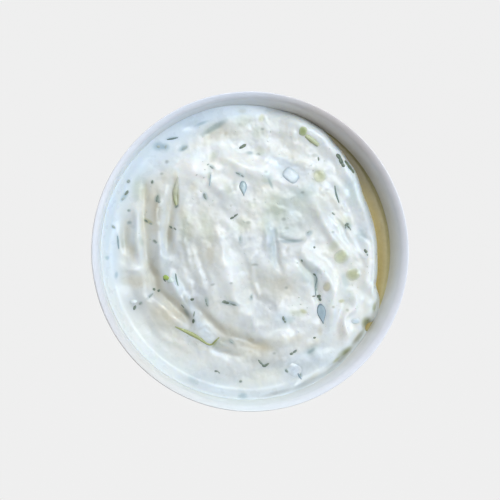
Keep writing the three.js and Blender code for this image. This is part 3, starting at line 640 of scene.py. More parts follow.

# %% [markdown]
# ## Painted light and shade
#
# These groups are painted light and shade. Hollows are painted dimmer and heaps brighter than their slopes
# alone make them. The gap at the wall gets painted shade, and the thin yogurt by the wall gets painted warm
# light at the near side and a painted reflection of the sky at the far left. These last groups are the
# broadest and the faintest, apart from the few dark ones in the gap at the wall.

# %% Painted light and shade
SUNK_BITS_AND_PAINTED_LIGHT += [
    # Painted shade in the deep hollows and furrows of the swirl.
    ("deep of the swirl", (0.84, 0.83, 0.80), [
        (-31.2, -6, 3.4, 14, 10), (-26.6, -15.6, 8, 2.4, -42), (-21.4, -20.4, 6, 2, -46),
        (-30.4, -12.4, 3, 5, 20), (-12, -23, 12, 2.6, -42), (-25.8, 6.5, 2.4, 6, 0),
        (-30.5, 14, 2.4, 14, 0), (-16, -31, 8, 3, -30), (-41.5, 4, 4, 10, 0), (-19.5, -16.5, 5, 2, -45),
    ]),
    ("shade at the wall", (0.66, 0.66, 0.58), [
        (32.6, -34.2, 6, 2.4, 45), (40.8, -24, 4, 4.4, 60), (38, -28.4, 6, 1.6, 52),
    ]),
    # Painted shade along the foot of the wall.
    ("grey painted shade at the wall", (0.80, 0.79, 0.76), [
        (37, -30.4, 10, 2.4, 49), (28.5, -38.8, 12, 2.4, 40), (20.5, -43.6, 9, 2, 28),
        (10, -47.2, 12, 1.2, 14), (44, -19, 3, 7, -20), (33.4, -34.8, 8, 1.6, 46),
    ]),
    ("shade of the near side", (0.90, 0.905, 0.915), [
        (2, -33, 24, 8, -16), (-4, -29.5, 12, 5, -20), (20, -37, 18, 8, 30), (6, -17, 9, 10, 0),
        (-33, -16, 10, 10, 0), (-18, -14.5, 8, 8, 0), (40.5, 12, 5, 14, -10), (2, 2, 24, 9, 0),
        (-31, -1, 8, 6, 0), (-8, -41, 24, 7, 10), (-13, -28, 16, 8, -40), (-37, -16, 9, 8, 0),
        (41, 9, 4, 16, 0), (-19, -21, 8, 8, 0), (-8, -31, 12, 7, -20), (-15, -16, 7, 8, 0),
        (-30, -24, 10, 6, -45), (19, 26, 7, 6, 0), (12, 28, 8, 5, 0), (0, 20, 6, 5, 0), (30, 15, 5, 6, 0),
        (-25, -5, 5, 7, 0), (-17, -11, 8, 8, 0), (-30, -15, 5, 5, 0), (8, -20, 9, 6, 0), (-5, -30, 7, 5, 0),
        (6, -18, 9, 9, 0), (-24, 1, 10, 12, 0), (-5, 17, 10, 8, 0), (14, 2, 14, 7, 0), (26, 15, 4, 6, 0),
        (16, 27, 10, 6, 0), (6, -37, 12, 6, 0), (0, -47.5, 26, 4, 0), (17, -44.5, 16, 4, 21),
        (-17, -44.5, 16, 4, -21), (28, -39, 12, 4, 36),
    ]),
    ("light of the far side", (1.05, 1.045, 1.04), [
        (-14, 27, 22, 10, -10), (4, 24, 18, 8, -10), (11, 14, 16, 9, 10), (24, -20, 10, 9, 0),
        (34, -22, 8, 12, 0), (30, 11, 6, 8, 0), (26, 2, 6, 8, -40), (34, 20, 4, 8, 0), (17, -6, 12, 6, -40),
        (20, 17, 8, 11, 0), (35, 20, 5, 7, 0), (30, -0.5, 6, 7, 0), (23, -20, 10, 8, 0), (31, -25, 7, 8, 0),
        (39, -20, 6, 6, 0), (-22, 27, 8, 8, 0), (8, 15, 10, 8, 0), (-37, -4, 7, 5, 0), (-10, -7, 7, 10, 0),
        (31, -1, 6, 7, 0), (20, 15, 7, 7, 0), (32, -26, 7, 8, 0), (19, -19, 8, 8, 0), (-20, 25, 9, 9, 0),
        (35, 20, 6, 8, 0), (20, 14, 6, 6, 0), (-36, -5, 5, 5, 0), (25, -10, 5, 7, 0),
    ]),
    # Painted warm light on the thin yogurt by the near wall.
    ("painted warm light at the near wall", (1.01, 0.985, 0.955), [
        (-32.5, -32.5, 50, 12, -45), (-41, -20, 24, 8, -64),
    ]),
    # Painted cool reflection of the sky on the thin yogurt at the far left wall.
    ("painted sky reflection at the far left wall", (0.965, 0.995, 1.045), [
        (-32, 33, 48, 13, 45), (-46, 8, 6, 36, 4), (-10, 46, 30, 6, 12),
    ]),
]
print(sum(len(spots) for _, _, spots in SUNK_BITS_AND_PAINTED_LIGHT), "spots in all")

# %% [markdown]
# ## The colour of the dip
#
# The tones are multiplied onto the colour of plain yogurt, as stained glass over stained glass. The thin
# apron at the wall is a little cooler, partly as a painted reflection of the sky. Furrows are painted warmer
# and darker, as painted shade for the light that bounces inside them and gets warmer each time, and some
# streaks along the swirl are a little warmer too. No point is whiter than real yogurt can be.

# %% The colour of the dip at any point
YOGURT = np.array([0.822, 0.84, 0.838])
# Cooler colour of the thin apron, partly a painted reflection of the sky.
APRON_AND_SKY_SHEEN = np.array([0.77, 0.825, 0.855])
WARM = np.array([1.0, 0.97, 0.90])
WHITEST = 0.97
DEEP_FURROW = 1.2
FURROW_SHADE_WARMTH, STREAK_WARMTH = 1.1, 0.7
MOTTLE = 0.018
SPOT_CORE, SPOT_END = 0.3, 1.5


def paint(colour, x, y, tone, spots):
    """Lay one tone over the colour at each spot, with a soft edge."""
    for at_x, at_y, length, width, turn in spots:
        c, s = math.cos(math.radians(turn)), math.sin(math.radians(turn))
        dx, dy = x - at_x, y - at_y
        share = np.hypot((dx * c + dy * s) / (length / 2), (dy * c - dx * s) / (width / 2))
        cover = 1 - ease(SPOT_CORE, SPOT_END, share)
        colour *= 1 - cover[:, None] * (1 - np.array(tone))


def dip_colour(x, y):
    """The tint of each point of the dip, with what is stirred into it and the painted light and shade."""
    thick = thick_part(x, y)[:, None]
    colour = APRON_AND_SKY_SHEEN + (YOGURT - APRON_AND_SKY_SHEEN) * thick
    # Painted shade: the furrows are made warmer and darker.
    furrow_shade = np.clip(-relief(x, y, SPOON_MARKS), 0, DEEP_FURROW)[:, None] / DEEP_FURROW
    colour *= 1 - FURROW_SHADE_WARMTH * furrow_shade * (1 - WARM) * thick
    streak = ease(-0.2, 0.9, swirl_noise(x, y, 3.5, 8, 21))[:, None]
    colour *= 1 - STREAK_WARMTH * streak * (1 - WARM) * thick
    mottle = 0.5 * lumps(x, y, 2.3, 31) + 0.5 * lumps(x, y, 1.1, 33)
    colour *= 1 + MOTTLE * mottle[:, None] * (0.3 + 0.7 * thick)
    for _, tone, spots in SUNK_BITS_AND_PAINTED_LIGHT:
        paint(colour, x, y, tone, spots)
    return np.minimum(colour, WHITEST)


print("tint in the middle of the dip", dip_colour(np.zeros(1), np.zeros(1))[0].round(2))

# %% [markdown]
# ## The dip's mesh
#
# The top needs even detail everywhere, also near the middle, so its points lie on rings of 6, 12, 18 and so
# on. A plain polar grid would crowd the middle and leave the edge coarse. The outermost ring meets the wall
# at the height that the dip has there, and sinks a hair into it, so that no gap shows. The underside follows
# the bowl's inside, a little way off it.

# %% Rings of points for the dip
DIP_RINGS = 168
SINK = 0.12


def ring_start(ring):
    """The number of the ring's first point."""
    return 0 if ring == 0 else 1 + 3 * ring * (ring - 1)


def reach(turns):
    """Radius at which the dip's surface meets the wall."""
    start = inside_radius(LEVEL)
    z = dip_height(start * np.cos(turns), start * np.sin(turns))
    return inside_radius(np.minimum(z, LEVEL + CLING)) + SINK


def disc_faces(rings):
    """Triangles between rings of 6, 12, 18 and so on, from the middle out."""
    faces = []
    for ring in range(1, rings + 1):
        outer, inner = ring_start(ring), ring_start(ring - 1)
        inner_count = max(6 * (ring - 1), 1)
        for sextant in range(6):
            for i in range(ring):
                a = outer + sextant * ring + i
                b = outer + (sextant * ring + i + 1) % (6 * ring)
                c = inner + (sextant * (ring - 1) + i) % inner_count
                faces.append((a, b, c))
                if i + 1 < ring:
                    faces.append((b, inner + (sextant * (ring - 1) + i + 1) % inner_count, c))
    return faces


print("the outermost ring has", 6 * DIP_RINGS, "points")

# %% [markdown]
# ## Building the dip
#
# The top comes ring by ring, and a few rings of the same number of points carry it down the inside of the
# bowl to one point on its floor. So the dip is one closed body, as a real dip is.


# %% Build the dip
def dip_top():
    """Points of the top, ring by ring."""
    x, y = [np.zeros(1)], [np.zeros(1)]
    fine_turns = np.linspace(0, 2 * math.pi, 721)
    fine_reach = reach(fine_turns)
    for ring in range(1, DIP_RINGS + 1):
        turns = np.arange(6 * ring) * 2 * math.pi / (6 * ring)
        radius = np.interp(turns, fine_turns, fine_reach) * ring / DIP_RINGS
        x.append(radius * np.cos(turns))
        y.append(radius * np.sin(turns))
    x, y = np.concatenate(x), np.concatenate(y)
    return np.stack([x, y, dip_height(x, y)], 1)


SIDE_RINGS = (0.58, 0.36, 0.18, 0.07, 0.015)
SIDE_GAP = 0.3


def build_dip():
    """The whole dip: its top, its sides along the bowl, and its underside."""
    top = dip_top()
    faces = disc_faces(DIP_RINGS)
    count = 6 * DIP_RINGS
    turns = np.arange(count) * 2 * math.pi / count
    parts = [top]
    upper, number = ring_start(DIP_RINGS), len(top)
    for share in SIDE_RINGS:
        z = FLOOR_HEIGHT + (INNER_TOP - FLOOR_HEIGHT) * share
        radius = inside_radius(z) - SIDE_GAP
        level = np.full(count, z + SIDE_GAP)
        parts.append(np.stack([radius * np.cos(turns), radius * np.sin(turns), level], 1))
        faces += ring_faces(number, upper, count)
        upper, number = number, number + count
    parts.append(np.array([[0, 0, FLOOR_HEIGHT + SIDE_GAP]]))
    faces += [(upper + i, number, upper + (i + 1) % count) for i in range(count)]
    points = np.concatenate(parts)
    return make_piece("dip_yogurt", points, faces, dip_colour(points[:, 0], points[:, 1]))


dip = build_dip()
print("dip", len(dip.data.polygons), "faces")

# %% [markdown]
# ## The whey
#
# Where the dip stands clear of the wall, thin whey and oil have gathered in a crescent. The pool is flat, but
# it climbs the wall by half a millimetre, as any liquid that wets it does. It reaches a little way under the
# edge of the dip, so that no dry line shows. It is tan in the middle of its width and olive at the wall,
# where it is painted lighter, as painted light against the shade at the foot of the wall. Towards the far
# end it is painted brown, as painted shade where that end lies deep in the shadow of the rim. A grid of
# points, as a bent ribbon with a bottom, is enough.

# %% Colours of the whey
WHEY_TAN = np.array([0.40, 0.305, 0.10])
# Olive at the wall, painted lighter as painted light against the shade at the foot of the wall.
WHEY_OLIVE_PAINTED_LIGHT = np.array([0.56, 0.50, 0.27])
# Painted shade for the far end, which lies in the shadow of the rim.
WHEY_PAINTED_SHADE = np.array([0.17, 0.145, 0.062])


def whey_colour(turns, across):
    """A colour for each section and station of the pool, with painted light at the wall and painted shade at
    the far end.
    """
    at_wall = (ease(0.45, 0.95, across)[None, :] * np.ones((len(turns), 1)))[..., None]
    # Painted light: lighter olive towards the wall.
    colour = WHEY_TAN + (WHEY_OLIVE_PAINTED_LIGHT - WHEY_TAN) * at_wall
    angle = np.degrees(turns)[:, None, None]
    # Painted shade: brown towards the far end.
    painted_shade = ease(12, 40, angle) * (1 - 0.7 * ease(46, 62, angle))
    return colour + (WHEY_PAINTED_SHADE - colour) * painted_shade * (0.85 - 0.25 * at_wall)


print("whey from tan", WHEY_TAN, "to olive", WHEY_OLIVE_PAINTED_LIGHT)

# %% [markdown]
# ## Building the whey
#
# The pool runs round part of the bowl, section by section, each with the same number of stations from the
# shore to the wall. Top and bottom are two such grids, joined along both sides and at both ends.

# %% Build the whey
WHEY_LEVEL = LEVEL - 0.6
WHEY_START, WHEY_END = -33, 84
WHEY_UNDER_DIP = 1.5
WHEY_CLIMB = 0.5
WHEY_INTO_WALL = 0.1
WHEY_DEPTH = 1.4


def ribbon_faces(sections, stations):
    """Faces of a closed ribbon: a grid on top, the same grid below, and a rim round both."""
    half = sections * stations
    faces = []
    for i in range(sections - 1):
        for j in range(stations - 1):
            a, b = i * stations + j, (i + 1) * stations + j
            faces.append((a, a + 1, b + 1, b))
            faces.append((half + a, half + b, half + b + 1, half + a + 1))
        shore, next_shore = i * stations, (i + 1) * stations
        faces.append((shore, next_shore, half + next_shore, half + shore))
        wall, next_wall = shore + stations - 1, next_shore + stations - 1
        faces.append((wall, half + wall, half + next_wall, next_wall))
    for j in range(stations - 1):
        last = (sections - 1) * stations + j
        faces.append((j, half + j, half + j + 1, j + 1))
        faces.append((last, last + 1, half + last + 1, half + last))
    return faces


def build_whey(sections=220, stations=22):
    """The pool between the edge of the dip and the wall."""
    turns = np.radians(np.linspace(WHEY_START, WHEY_END, sections))
    across = np.linspace(0, 1, stations)
    shore = (edge_radius(np.degrees(turns)) - WHEY_UNDER_DIP)[:, None]
    wall = inside_radius(WHEY_LEVEL) + WHEY_INTO_WALL
    radius = shore + (wall - shore) * across
    z = WHEY_LEVEL + WHEY_CLIMB * ease(0.8, 1, across) ** 2 + 0 * radius
    x, y = radius * np.cos(turns)[:, None], radius * np.sin(turns)[:, None]
    top = np.stack([x, y, z], -1).reshape(-1, 3)
    bottom = top.copy()
    bottom[:, 2] = WHEY_LEVEL - WHEY_DEPTH
    colour = np.concatenate([whey_colour(turns, across).reshape(-1, 3)] * 2)
    return make_piece("whey_pool", np.concatenate([top, bottom]), ribbon_faces(sections, stations), colour)


whey = build_whey()
print("whey", len(whey.data.polygons), "faces")

# %% [markdown]
# ## Helpers for materials
#
# Every material is a small node tree. Broad colours come from the tint that each point of a mesh carries, and
# noise in the object's own space adds what is finer than the mesh: specks in the yogurt, streaks in the dill
# and a gloss that is never quite even. Blender's Mix node keeps its sockets for numbers, vectors and colours
# in one list, so its two colours are inputs 6 and 7, and its mixed colour is output 2.

# %% Helpers for materials
MIX_FIRST, MIX_SECOND, MIX_RESULT = 6, 7, 2


def new_material(name):
    """A material with its nodes, its links and its shader."""
    material = bpy.data.materials.new(name)
    material.use_nodes = True
    nodes, links = material.node_tree.nodes, material.node_tree.links
    return material, nodes, links, nodes["Principled BSDF"]


def grey(value):
    """The same value for red, green and blue."""
    return (value, value, value)


def object_noise(nodes, links, scale):
    """Noise in the object's own space, with this many lumps to the metre."""
    place = nodes.new("ShaderNodeTexCoord")
    noise = nodes.new("ShaderNodeTexNoise")
    noise.inputs["Scale"].default_value = scale
    links.new(place.outputs["Object"], noise.inputs["Vector"])
    return noise.outputs["Fac"]


def colour_ramp(nodes, links, value, stops):
    """A colour for each value from 0 to 1, by stops of place and colour."""
    ramp = nodes.new("ShaderNodeValToRGB")
    elements = ramp.color_ramp.elements
    for element, (at, colour) in zip(elements, (stops[0], stops[-1])):
        element.position = at
        element.color = (*colour, 1)
    for at, colour in stops[1:-1]:
        elements.new(at).color = (*colour, 1)
    links.new(value, ramp.inputs["Fac"])
    return ramp.outputs["Color"]


def noise_ramp(nodes, links, scale, low, high, span=(0.35, 0.65)):
    """A colour that wanders between two colours with noise of this scale."""
    noise = object_noise(nodes, links, scale)
    return colour_ramp(nodes, links, noise, [(span[0], low), (span[1], high)])


def mix_colours(nodes, blend):
    """A Mix node for colours."""
    mix = nodes.new("ShaderNodeMix")
    mix.data_type = "RGBA"
    mix.blend_type = blend
    return mix


def multiply(nodes, links, first, second):
    """One colour times the other."""
    mix = mix_colours(nodes, "MULTIPLY")
    mix.inputs["Factor"].default_value = 1
    links.new(first, mix.inputs[MIX_FIRST])
    links.new(second, mix.inputs[MIX_SECOND])
    return mix.outputs[MIX_RESULT]


# %% [markdown]
# ## Yogurt, whey and cucumber
#
# All three are moist and let some light in, so one helper serves them all. It takes the colour from the tint.
# Subsurface scattering carries light through the yogurt and softens its furrows. The whey has none, because
# it is thin and its colour comes from what lies under it. `gloss` is the least and the greatest roughness.

# %% Yogurt, whey and cucumber
MOTTLE_SCALE, GLOSS_SCALE, BUMP_SCALE = 900, 260, 1100
LIGHT_REACH = (1.0, 0.85, 0.65)


def add_bump(nodes, links, shader, scale, depth):
    """Fine bumps of this depth in millimetres."""
    bump = nodes.new("ShaderNodeBump")
    bump.inputs["Distance"].default_value = depth * MM
    links.new(object_noise(nodes, links, scale), bump.inputs["Height"])
    links.new(bump.outputs["Normal"], shader.inputs["Normal"])


def tinted_material(name, gloss, scatter, mottle, bump=0.0, shine=0.5):
    """A moist finish whose colour is the tint, mottled by noise."""
    material, nodes, links, shader = new_material(name)
    tint = nodes.new("ShaderNodeAttribute")
    tint.attribute_name = "tint"
    spots = noise_ramp(nodes, links, MOTTLE_SCALE, grey(1 - mottle), grey(1))
    links.new(multiply(nodes, links, tint.outputs["Color"], spots), shader.inputs["Base Color"])
    roughness = noise_ramp(nodes, links, GLOSS_SCALE, grey(gloss[0]), grey(gloss[1]))
    links.new(roughness, shader.inputs["Roughness"])
    shader.inputs["Specular IOR Level"].default_value = shine
    shader.inputs["Subsurface Weight"].default_value = scatter
    shader.inputs["Subsurface Radius"].default_value = LIGHT_REACH
    shader.inputs["Subsurface Scale"].default_value = MM
    if bump:
        add_bump(nodes, links, shader, BUMP_SCALE, bump)
    return material


yogurt_look = tinted_material("yogurt", (0.22, 0.44), scatter=0.55, mottle=0.015, bump=0.025)
whey_look = tinted_material("whey", (0.12, 0.2), scatter=0.0, mottle=0.08, shine=0.2)
cucumber_look = tinted_material("cucumber", (0.12, 0.3), scatter=0.3, mottle=0.10)
dip.data.materials.append(yogurt_look)
whey.data.materials.append(whey_look)
print("materials so far", len(bpy.data.materials))

# %% [markdown]
# ## Glaze
#
# The glaze is white, and its colour here carries painted light and shade. It is painted cool on the lip,
# as a painted reflection of the sky, and warm deep inside, as painted light bounced from the food.
# Round the bowl it is painted darker and warmer at the near left and the far right, and lightest at
# the near right, as painted light and shade from what stands round it. So one ramp runs up the wall and
# another round the bowl. A radial gradient gives the second its place, from the left side by way of the
# near, the right and the far side, and back to the left.

# %% Glaze
GLAZE_DEPTH = 14
SPECK_SCALE, SHEEN_SCALE = 300, 90
# Painted light and shade: cool on the lip, warm deep inside, and changing round the bowl.
GLAZE_PAINTED_LIGHT_UP = [(0, (0.88, 0.87, 0.82)), (0.7, (0.895, 0.91, 0.945)), (1, (0.89, 0.90, 0.98))]
GLAZE_PAINTED_LIGHT_ROUND = [
    (0, (0.92, 0.93, 0.93)), (0.07, (0.86, 0.83, 0.80)), (0.125, (0.89, 0.85, 0.76)),
    (0.25, (0.94, 0.98, 0.94)), (0.375, (1.0, 0.99, 1.0)), (0.5, (1.0, 1.0, 1.0)),
    (0.556, (0.99, 0.97, 0.95)), (0.62, (0.90, 0.83, 0.78)), (0.68, (0.88, 0.81, 0.74)),
    (0.75, (0.94, 0.96, 0.98)), (0.875, (0.98, 0.99, 1.0)), (0.95, (1.0, 1.0, 0.98)),
    (1, (0.92, 0.93, 0.93)),
]


def glaze_material():
    """White glaze, with painted light and shade up the wall and round the bowl."""
    material, nodes, links, shader = new_material("white_glaze")
    place = nodes.new("ShaderNodeTexCoord")
    split = nodes.new("ShaderNodeSeparateXYZ")
    height = nodes.new("ShaderNodeMapRange")
    height.inputs["From Min"].default_value = (RIM_HEIGHT - GLAZE_DEPTH) * MM
    height.inputs["From Max"].default_value = RIM_HEIGHT * MM
    wheel = nodes.new("ShaderNodeTexGradient")
    wheel.gradient_type = "RADIAL"
    links.new(place.outputs["Object"], split.inputs[0])
    links.new(split.outputs["Z"], height.inputs["Value"])
    links.new(place.outputs["Object"], wheel.inputs["Vector"])
    up = colour_ramp(nodes, links, height.outputs["Result"], GLAZE_PAINTED_LIGHT_UP)
    turns = colour_ramp(nodes, links, wheel.outputs["Fac"], GLAZE_PAINTED_LIGHT_ROUND)
    specks = noise_ramp(nodes, links, SPECK_SCALE, grey(0.97), grey(1))
    # The glaze colour with its painted light and shade and its random specks.
    glaze_with_painted_light = multiply(nodes, links, multiply(nodes, links, up, turns), specks)
    links.new(glaze_with_painted_light, shader.inputs["Base Color"])
    sheen = noise_ramp(nodes, links, SHEEN_SCALE, grey(0.16), grey(0.24))
    links.new(sheen, shader.inputs["Roughness"])
    return material


bowl.data.materials.append(glaze_material())
print("glaze with", len(GLAZE_PAINTED_LIGHT_ROUND), "tones round the bowl")

# %% [markdown]
# ## Dill and crumbs
#
# A leaf of dill is green in fine streaks. Where the yogurt has closed over a leaf it looks paler, so each
# fleck carries a number, its veil, that mixes its green with the tone of veiled dill.

# %% Dill and crumbs
STREAK_SCALE, LEAF_SHEEN_SCALE = 1400, 500


def dill_material(name, dark, light, veiled):
    """Greens in fine streaks, paler where the yogurt has closed over the leaf."""
    material, nodes, links, shader = new_material(name)
    veil = nodes.new("ShaderNodeAttribute")
    veil.attribute_name = "veil"
    mix = mix_colours(nodes, "MIX")
    mix.inputs[MIX_SECOND].default_value = (*veiled, 1)
    links.new(veil.outputs["Fac"], mix.inputs["Factor"])
    streaks = noise_ramp(nodes, links, STREAK_SCALE, dark, light, (0.3, 0.7))
    links.new(streaks, mix.inputs[MIX_FIRST])
    links.new(mix.outputs[MIX_RESULT], shader.inputs["Base Color"])
    sheen = noise_ramp(nodes, links, LEAF_SHEEN_SCALE, grey(0.3), grey(0.5))
    links.new(sheen, shader.inputs["Roughness"])
    return material


dill_look = dill_material("dill", (0.08, 0.12, 0.085), (0.22, 0.27, 0.19), (0.62, 0.68, 0.68))
crumb_look = dill_material("crumbs", (0.52, 0.58, 0.56), (0.72, 0.73, 0.64), (0.7, 0.7, 0.7))
print("materials for", dill_look.name, "and", crumb_look.name)

# %% [markdown]
# ## Building and running a node tree
#
# Chopped dill, crumbs and strips all repeat one small form or follow a path, which is a job for Geometry
# Nodes. Each tree has named inputs for its sizes and ends in Realize Instances and Set Material, so that the
# result is plain mesh. A carrier object holds the points or paths that the tree starts from. The tree runs
# once, the carrier goes, and only the mesh is kept.


# %% Building and running a node tree
def start_tree(name, inputs):
    """A new tree with these inputs, given as label and kind of socket."""
    tree = bpy.data.node_groups.new(name, "GeometryNodeTree")
    tree.interface.new_socket("Geometry", in_out="INPUT", socket_type="NodeSocketGeometry")
    for label, kind in inputs:
        tree.interface.new_socket(label, in_out="INPUT", socket_type="NodeSocket" + kind)
    tree.interface.new_socket("Geometry", in_out="OUTPUT", socket_type="NodeSocketGeometry")
    return tree, tree.nodes.new("NodeGroupInput"), tree.nodes.new("NodeGroupOutput")


def named(tree, kind, name):
    """A node that reads an attribute of the points."""
    node = tree.nodes.new("GeometryNodeInputNamedAttribute")
    node.data_type = kind
    node.inputs["Name"].default_value = name
    return node.outputs["Attribute"]


def end_tree(tree, start, end, geometry):
    """The last nodes of each tree: Realize Instances, Set Shade Smooth and Set Material."""
    new, link = tree.nodes.new, tree.links.new
    real, smooth = new("GeometryNodeRealizeInstances"), new("GeometryNodeSetShadeSmooth")
    finish = new("GeometryNodeSetMaterial")
    link(geometry, real.inputs["Geometry"])
    link(real.outputs["Geometry"], smooth.inputs["Geometry"])
    link(smooth.outputs["Geometry"], finish.inputs["Geometry"])
    link(start.outputs["Material"], finish.inputs["Material"])
    link(finish.outputs["Geometry"], end.inputs["Geometry"])


def run_tree(name, carrier, tree, values):
    """Run the tree on a carrier object and return what it made as a plain mesh object."""
    modifier = carrier.modifiers.new(name, "NODES")
    modifier.node_group = tree
    for item in tree.interface.items_tree:
        if item.in_out == "INPUT" and item.name in values:
            modifier[item.identifier] = values[item.name]
    evaluated = carrier.evaluated_get(bpy.context.evaluated_depsgraph_get())
    mesh = bpy.data.meshes.new_from_object(evaluated)
    mesh.name = name
    bpy.data.objects.remove(carrier)
    print(name, len(mesh.polygons), "faces")
    return add_object(name, mesh)


# %% [markdown]
# ## Flecks of dill
#
# Chopped dill is many slivers of the same thin leaf. Instance on Points sets one small ball on each point and
# stretches it to the size that the point carries. Noise then frays the outlines, so that no two are alike.

# %% The tree that lays slivers on points
FRAY_SCALE = 900


def fray(tree, start, geometry):
    """Shift each point by noise of the given raggedness."""
    new, link = tree.nodes.new, tree.links.new
    noise = new("ShaderNodeTexNoise")
    noise.noise_dimensions = "4D"
    noise.inputs["Scale"].default_value = FRAY_SCALE
    link(start.outputs["Seed"], noise.inputs["W"])
    centred, shift = new("ShaderNodeVectorMath"), new("ShaderNodeVectorMath")
    centred.operation, shift.operation = "SUBTRACT", "SCALE"
    centred.inputs[1].default_value = grey(0.5)
    link(noise.outputs["Color"], centred.inputs[0])
    link(centred.outputs["Vector"], shift.inputs["Vector"])
    link(start.outputs["Raggedness"], shift.inputs["Scale"])
    rough = new("GeometryNodeSetPosition")
    link(geometry, rough.inputs["Geometry"])
    link(shift.outputs["Vector"], rough.inputs["Offset"])
    return rough.outputs["Geometry"]


def sliver_tree():
    """Slivers on points, each with its own size and turn."""
    inputs = [("Raggedness", "Float"), ("Seed", "Float"), ("Material", "Material")]
    tree, start, end = start_tree("slivers", inputs)
    new, link = tree.nodes.new, tree.links.new
    ball = new("GeometryNodeMeshIcoSphere")
    ball.inputs["Radius"].default_value = 0.5
    ball.inputs["Subdivisions"].default_value = 2
    place = new("GeometryNodeInstanceOnPoints")
    link(start.outputs["Geometry"], place.inputs["Points"])
    link(ball.outputs["Mesh"], place.inputs["Instance"])
    link(named(tree, "QUATERNION", "facing"), place.inputs["Rotation"])
    link(named(tree, "FLOAT_VECTOR", "size"), place.inputs["Scale"])
    real = new("GeometryNodeRealizeInstances")
    link(place.outputs["Instances"], real.inputs["Geometry"])
    end_tree(tree, start, end, fray(tree, start, real.outputs["Geometry"]))
    return tree


print("slivers are balls stretched to size")

# %% [markdown]
# ## Points for the flecks
#
# A leaf lies flat on what is under it. So the slope of the dip is measured a short step to each side of the
# point, and the fleck is tilted to it before it is turned. A long fleck bridges a hollow, so its height is at
# least the mean of the dip's height under its two ends.

# %% Points for the flecks
SLOPE_STEP = 0.4
REST_AT = 0.3
VEILED_SINK = 0.15


def fleck_height(x, y, length, turn):
    """The height at which a fleck lies, over what is under its middle and its two ends."""
    along = np.stack([np.cos(np.radians(turn)), np.sin(np.radians(turn))]) * REST_AT * length
    back, middle, front = (dip_height(x + way * along[0], y + way * along[1]) for way in (-1, 0, 1))
    return np.maximum(middle, (back + front) / 2)


def carrier_points(name, rows, thickness, sink):
    """An object of single points on the dip, one for each row."""
    x, y, length, width, turn, veil = np.array(rows, float).T
    step = SLOPE_STEP
    slope_x = (dip_height(x + step, y) - dip_height(x - step, y)) / (2 * step)
    slope_y = (dip_height(x, y + step) - dip_height(x, y - step)) / (2 * step)
    z = fleck_height(x, y, length, turn) + thickness * (0.5 - sink - VEILED_SINK * veil)
    mesh = bpy.data.meshes.new(name)
    mesh.from_pydata((np.stack([x, y, z], 1) * MM).tolist(), [], [])
    mesh.attributes.new("facing", "QUATERNION", "POINT")
    mesh.attributes.new("size", "FLOAT_VECTOR", "POINT")
    mesh.attributes.new("veil", "FLOAT", "POINT").data.foreach_set("value", veil)
    facing, size = mesh.attributes["facing"], mesh.attributes["size"]
    for i in range(len(x)):
        normal = Vector((-slope_x[i], -slope_y[i], 1)).normalized()
        tilt = Vector((0, 0, 1)).rotation_difference(normal)
        spin = Matrix.Rotation(math.radians(turn[i]), 3, "Z").to_quaternion()
        facing.data[i].value = tilt @ spin
        size.data[i].vector = (length[i] * MM, width[i] * MM, thickness * MM)
    return add_object(name, mesh)


print("slopes are measured over", 2 * SLOPE_STEP, "mm")
